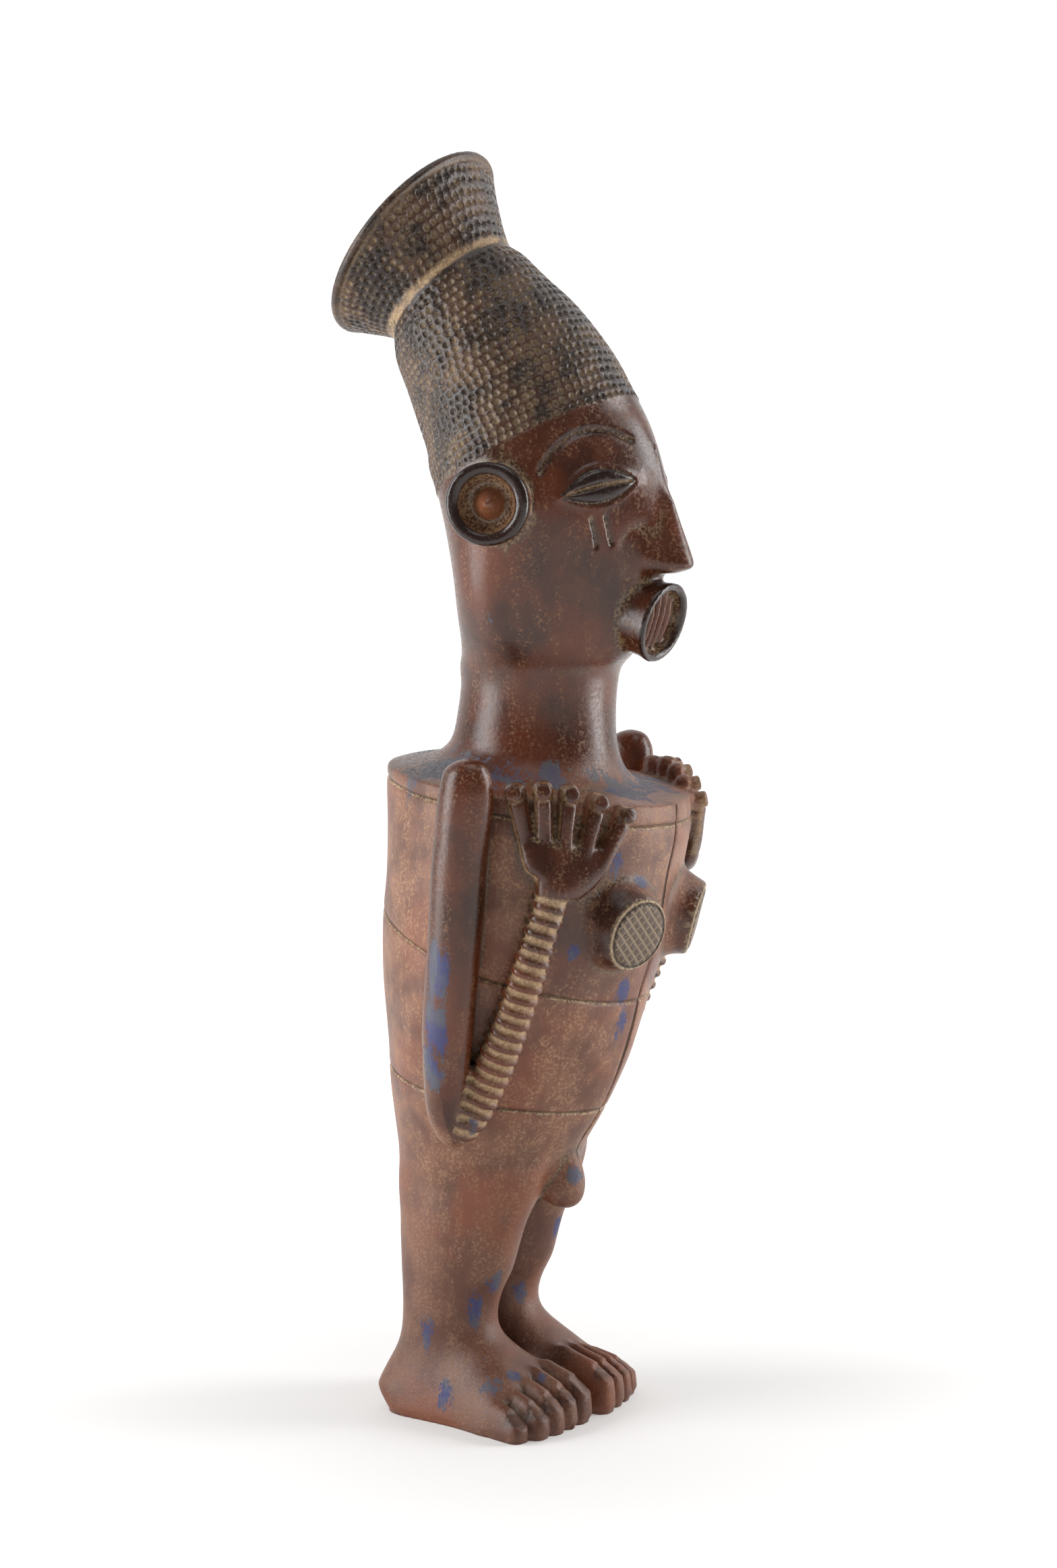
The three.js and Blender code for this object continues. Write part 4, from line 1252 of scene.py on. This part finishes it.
# %% Colours as a screen shows them
def rgb(r, g, b):
    """A colour given in screen values from 0 to 255."""
    line = [v / 255 / 12.92 if v <= 10 else ((v / 255 + 0.055) / 1.055) ** 2.4 for v in (r, g, b)]
    return (*line, 1.0)


# %% Fired clay
clay_material = bpy.data.materials.new("fired_clay")
paint = Finish(clay_material)
OBJECT_PLACE = 3
place = paint.node("TexCoord", OBJECT_PLACE)


def masks(name):
    """The four masks that one attribute holds."""
    stored = paint.node("Attribute", 0, {"attribute_name": name})
    fourth = paint.also(3)
    first = paint.node("SeparateColor", Color=stored)
    return first, paint.also(1), paint.also(2), fourth


hair_mask, pit_mask, black_mask, fill_mask = masks("slip")
blue_mask, red_mask, shelter_mask, cup_mask = masks("wear_and_shade")
torso_mask, disc_mask, rib_mask, _ = masks("place")

# Five noises, from clouds of firing colour down to single grains.
broad = paint.noise(place, 22.0, 3.0)
cloud = paint.noise(place, 60.0, 5.0, 0.6)
grain = paint.noise(place, 820.0, 4.0, 0.7)
fine = paint.noise(place, 1500.0, 3.0, 0.7)
streak_place = paint.node("Mapping", Vector=place, Scale=(1.0, 1.0, 0.2))
streak = paint.noise(streak_place, 180.0, 5.0, 0.65)

# %% [markdown]
# ### Lines drawn by the shader
# The incised lines and the hatching are finer than the mesh's faces. They could be an image, but
# measured from the point's own millimetres they stay sharp at any size and follow the cut grooves.

# %% Lines and hatching
millimetres = paint.node("Mapping", Vector=place, Scale=(1 / MM,) * 3, Location=(0, GROUND_SHIFT, 0))
px = paint.node("SeparateXYZ", Vector=millimetres)
py, pz = paint.also(1), paint.also(2)
wander = (cloud - 0.5) * 1.4


def thin(gap, width):
    return 1 - paint.ramp(gap.size(), width * 0.35, width)


line_dark, line_fill = 0.0, 0.0
for height, tilt in TORSO_LINES:
    gap = pz - tilt * py - height - wander
    line_dark = thin(gap - 0.15, 0.6) * paint.ramp(grain, 0.3, 0.6) * 0.8 + line_dark
    line_fill = thin(gap + 0.4, 1.1) + line_fill
line_fill = line_fill * torso_mask * paint.ramp(streak + (grain - 0.5) * 1.6, 0.38, 0.54)
front_half = paint.ramp(py * -1, 0.0, 8.0)
middle_gap = px - wander * 0.35
line_dark = line_dark + thin(middle_gap, 1.05) * front_half * paint.ramp(pz * -1, -247.6, -247.0)
middle_fill = 0.5 * thin(middle_gap + 0.8, 0.6) * front_half * torso_mask
line_fill = line_fill + middle_fill * paint.ramp(grain, 0.48, 0.6)
line_dark = line_dark * torso_mask * paint.ramp(streak, 0.25, 0.45)

# The chest discs are measured across and up from their own middles.
DISC_ACROSS = unit(np.cross(DISC_AXIS, [0, 0, 1]))
DISC_UP = unit(np.cross(DISC_ACROSS, DISC_AXIS))
STEEP_STEP, SHALLOW_STEP = 3.1, 3.4
from_disc = [p - float(c) for p, c in zip((px.size(), py, pz), DISC_CENTRE)]


def run_along(axis):
    x, y, z = (p * float(a) for p, a in zip(from_disc, axis))
    return x + y + z


ds, dt = run_along(DISC_ACROSS), run_along(DISC_UP)
steep = ((ds * 0.71 + dt * 0.7 + wander * 0.5) * (1 / STEEP_STEP)).nearest() * STEEP_STEP
shallow = ((ds * -0.64 + dt * 0.77 + wander * 0.7) * (1 / SHALLOW_STEP)).nearest() * SHALLOW_STEP
hatch = thin(steep, 0.85).at_least(thin(shallow, 0.7) * 0.85) * disc_mask
disc_reach = (ds * ds + dt * dt).root()
# A lighter ring on each disc's rounded border is a painted highlight.
disc_rim = thin(disc_reach - 14.1, 0.8) * disc_mask
disc_cut = thin(disc_reach - 12.9, 0.6) * disc_mask
print("nodes for the lines", len(paint.tree.nodes))

# %% [markdown]
# ### Colours of the clay
# Firing and handling left a dusty body, burnished skin and black-brown hair. Each is a base colour
# with dust or specks mixed in by noise, because a flat colour would look like plastic.

# %% Dusty body and burnished skin
clay_colour = paint.mix(paint.ramp(cloud, 0.35, 0.66), rgb(92, 56, 40), rgb(122, 81, 60))
clay_colour = paint.mix(paint.ramp(broad, 0.46, 0.66) * 0.65, clay_colour, rgb(122, 64, 38))
dusty = paint.ramp(grain, 0.47, 0.62) * paint.ramp(streak + (cloud - 0.5) * 0.8, 0.36, 0.6)
clay_colour = paint.mix(dusty * 0.62, clay_colour, rgb(172, 136, 106))

low_down = 1 - paint.ramp(pz, 20.0, 170.0)
clay_colour = paint.mix(low_down * 0.5, clay_colour, rgb(82, 47, 33))
clay_colour = paint.mix(low_down * paint.ramp(broad, 0.5, 0.62) * 0.5, clay_colour, rgb(126, 68, 40))

# The burnished red-brown of face, neck, hands and upper arms.
red_colour = paint.mix(paint.ramp(cloud, 0.38, 0.64), rgb(55, 27, 15), rgb(78, 41, 25))
red_colour = paint.mix(paint.ramp(broad, 0.46, 0.7) * 0.5, red_colour, rgb(106, 50, 23))
red_dust = paint.ramp(grain, 0.5, 0.66) * paint.ramp(streak, 0.44, 0.62)
red_colour = paint.mix(red_dust * 0.5, red_colour, rgb(156, 116, 82))
body = paint.mix((red_mask * 1.25 + (cloud - 0.5) * 0.5 * red_mask).clipped(), clay_colour, red_colour)
dark_speck = paint.ramp(fine, 0.6, 0.74) * 0.45
body = paint.mix(dark_speck, body, rgb(42, 24, 18))

# %% Black-brown coiffure, with dust in its dimples
hair_colour = paint.mix(paint.ramp(cloud, 0.4, 0.62), rgb(34, 21, 14), rgb(68, 43, 28))
hair_dust = paint.ramp(streak, 0.46, 0.62) * paint.ramp(grain, 0.46, 0.62)
hair_colour = paint.mix(hair_dust * 0.4, hair_colour, rgb(120, 102, 80))
pit_dust = paint.ramp(cloud + 0.5 * (streak - 0.5) + 0.3 * (grain - 0.5), 0.4, 0.58)
pit_colour = paint.mix(pit_dust, rgb(38, 26, 19), rgb(154, 130, 98))
hair_colour = paint.mix(pit_mask * 0.85, hair_colour, pit_colour)

# %% Black slip, painted shade and dirt in the hollows, beige infill and blue paint
# This black also paints the shade in the toenail cuts.
black_colour = paint.mix(paint.ramp(grain, 0.52, 0.74) * 0.25, rgb(27, 17, 14), rgb(88, 68, 54))
disc_colour = paint.mix(paint.ramp(grain, 0.4, 0.62), rgb(52, 39, 31), rgb(86, 70, 56))
beige = paint.mix(paint.ramp(grain, 0.36, 0.66), rgb(134, 108, 80), rgb(180, 153, 118))
# Sheltered hollows: they get painted shade, and beige dust over it.
sheltered = paint.ramp(shelter_mask, 0.54, 0.85)
dirt = sheltered * paint.ramp(grain, 0.4, 0.6) * (0.45 + 0.2 * red_mask)
blue_edge = paint.ramp(blue_mask + (grain - 0.5) * 1.1 + (streak - 0.5) * 1.7, 0.45, 0.62)
faded = paint.ramp(cloud + (streak - 0.5) * 0.6, 0.42, 0.6)
blue_tone = paint.mix(faded, rgb(42, 55, 104), rgb(70, 78, 92))
blue_tone = paint.mix(paint.ramp(pz, 246.0, 256.0) * 0.55, blue_tone, rgb(84, 84, 86))

# %% Lay them over the clay, from the bottom up
layers = [
    (hair_mask, hair_colour),
    (black_mask * paint.ramp(streak, 0.2, 0.4), black_colour),
    (cup_mask * 0.55, rgb(132, 82, 56)),
    # Painted shade: the sheltered hollows are darkened, less so on the hair.
    (sheltered * 0.65 * (1 - 0.6 * hair_mask), rgb(44, 30, 22)),
    (dirt, rgb(144, 118, 88)),
    (rib_mask * paint.ramp(grain + streak * 0.6, 0.36, 0.62) * 0.92, beige),
    (disc_mask * 0.9, disc_colour),
    (hatch * 0.6, rgb(140, 120, 94)),
    # Painted highlight on the rounded border of the discs.
    (disc_rim * 0.7, rgb(158, 134, 102)),
    (disc_cut * 0.8, rgb(44, 32, 24)),
    (fill_mask * paint.ramp(streak + 0.2 * grain, 0.34, 0.62), beige),
    (line_fill.clipped() * 0.85, beige),
    (line_dark.clipped() * 0.8, rgb(38, 24, 18)),
    (blue_edge * 0.85, blue_tone),
]
colour = body
for mask, tone in layers:
    colour = paint.mix(mask, colour, tone)
print("layers of colour", len(layers))

# %% Gloss and grain
roughness = 0.43 + (grain - 0.5) * 0.6 + dusty * 0.2 - 0.2 * red_mask - 0.2 * hair_mask
roughness = roughness + 0.3 * fill_mask + 0.3 * rib_mask
roughness = roughness + 0.15 * pit_mask + 0.15 * blue_edge - 0.12 * black_mask
grit = (grain * 0.5 + fine * 0.25 + cloud * 0.6) * (1 - 0.6 * red_mask)
height = grit - line_dark * 1.8 - line_fill * 0.4 - hatch * 1.2 - disc_cut * 1.5 + disc_rim
bump = paint.node("Bump", Strength=0.6, Distance=0.0006, Height=height)
shader = paint.node("BsdfPrincipled", Base_Color=colour, Roughness=roughness.clipped(), Normal=bump,
                    IOR=1.46)
paint.node("OutputMaterial", Surface=shader)
print("nodes in the finish", len(paint.tree.nodes))

# %% Dress the solid
figure.data.materials.clear()
figure.data.materials.append(clay_material)
for polygon in figure.data.polygons:
    polygon.use_smooth = True
figure.name = "terracotta_figure_clay"
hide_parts(NODE)
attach(figure, "root")

# %% [markdown]
# ## Studio
# A pale seamless floor, two tall soft lights that give the long side highlights, a weak one from
# above, and a camera where the photograph was taken from. A dark room behind the camera keeps the
# burnished skin from turning grey with reflections.

# %% Floor
floor_form = bmesh.new()
bmesh.ops.create_grid(floor_form, x_segments=2, y_segments=2, size=4.0)
floor_mesh = bpy.data.meshes.new("floor")
floor_form.to_mesh(floor_mesh)
floor_form.free()
floor = bpy.data.objects.new("floor", floor_mesh)
bpy.context.scene.collection.objects.link(floor)
pale_material = bpy.data.materials.new("pale_floor")
pale = Finish(pale_material)
spot = pale.node("TexCoord", OBJECT_PLACE)
away = pale.node("VectorMath", 1, {"operation": "LENGTH"}, i0=spot)
# The floor glows white as a backdrop, but the glow is dimmed within half a metre of the figure: a painted
# shade round its feet.
glow = pale.mix(pale.ramp(away, 0.08, 0.5), (0.32, 0.32, 0.32, 1), (1, 1, 1, 1))
pale_shader = pale.node("BsdfPrincipled", Base_Color=(0.62, 0.61, 0.6, 1), Roughness=0.8,
                        Emission_Color=glow, Emission_Strength=0.8)
pale.node("OutputMaterial", Surface=pale_shader)
floor_mesh.materials.append(pale_material)
floor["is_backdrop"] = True
print("floor", tuple(round(v, 2) for v in floor.dimensions))

# %% Camera
AZIMUTH, PITCH = radians(-63), radians(5.79)
DISTANCE, EYE_HEIGHT, SIDE_STEP = 1.4, 0.3943, -0.00425
FOCAL_PIXELS, LONG_SIDE = 5292.7, 2325
camera_data = bpy.data.cameras.new("camera")
camera_data.lens = FOCAL_PIXELS / LONG_SIDE * 36
camera = bpy.data.objects.new("camera", camera_data)
bpy.context.scene.collection.objects.link(camera)
view_back = Vector((np.sin(AZIMUTH), -np.cos(AZIMUTH), 0))
view_right = Vector((np.cos(AZIMUTH), np.sin(AZIMUTH), 0))
eye = view_back * DISTANCE + view_right * SIDE_STEP
camera.location = eye + Vector((0, -GROUND_SHIFT * MM, EYE_HEIGHT))
camera.rotation_euler = (pi / 2 - PITCH, 0, AZIMUTH)
bpy.context.scene.camera = camera
print("camera at", tuple(round(v, 3) for v in camera.location), "lens", round(camera_data.lens, 1))


# %% Lights
def soft_box(name, angle, distance, lift, width, height, radiance):
    """A soft box to the right of the camera for a positive angle, aimed at the figure's middle."""
    data = bpy.data.lights.new(name, "AREA")
    data.shape = "RECTANGLE"
    data.size = width
    data.size_y = height
    data.energy = radiance * pi * width * height
    light = bpy.data.objects.new(name, data)
    bpy.context.scene.collection.objects.link(light)
    turn = radians(angle)
    aside = view_back * np.cos(turn) + view_right * np.sin(turn)
    light.location = aside * distance + Vector((0, 0, lift))
    aim = Vector((0, 0, 0.27)) - light.location
    light.rotation_euler = aim.to_track_quat("-Z", "Y").to_euler()


soft_box("left_box", -77, 1.1, 0.45, 0.62, 1.3, 6.8)
soft_box("right_box", 95, 1.1, 0.45, 0.45, 1.3, 7.6)
soft_box("top_box", 20, 0.4, 1.7, 0.9, 0.9, 1.8)

# %% A white backdrop and a darker room on the camera's side
world = bpy.data.worlds.new("studio")
sky = Finish(world)
direction = sky.node("TexCoord", 0)
facing = sky.node("VectorMath", 1, {"operation": "DOT_PRODUCT"}, i0=direction, i1=view_back)
room = sky.ramp(facing, -0.75, 0.2, 1.05, 0.2)
seen = sky.node("LightPath", 0)
backdrop = sky.node("Background", Color=(1, 1, 1, 1), Strength=room.at_least(seen))
sky.node("OutputWorld", Surface=backdrop)
bpy.context.scene.world = world
bpy.context.scene.view_settings.view_transform = "Standard"

# %% Sizes before and after
low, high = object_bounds()
print("visual from", tuple(low), "to", tuple(high))
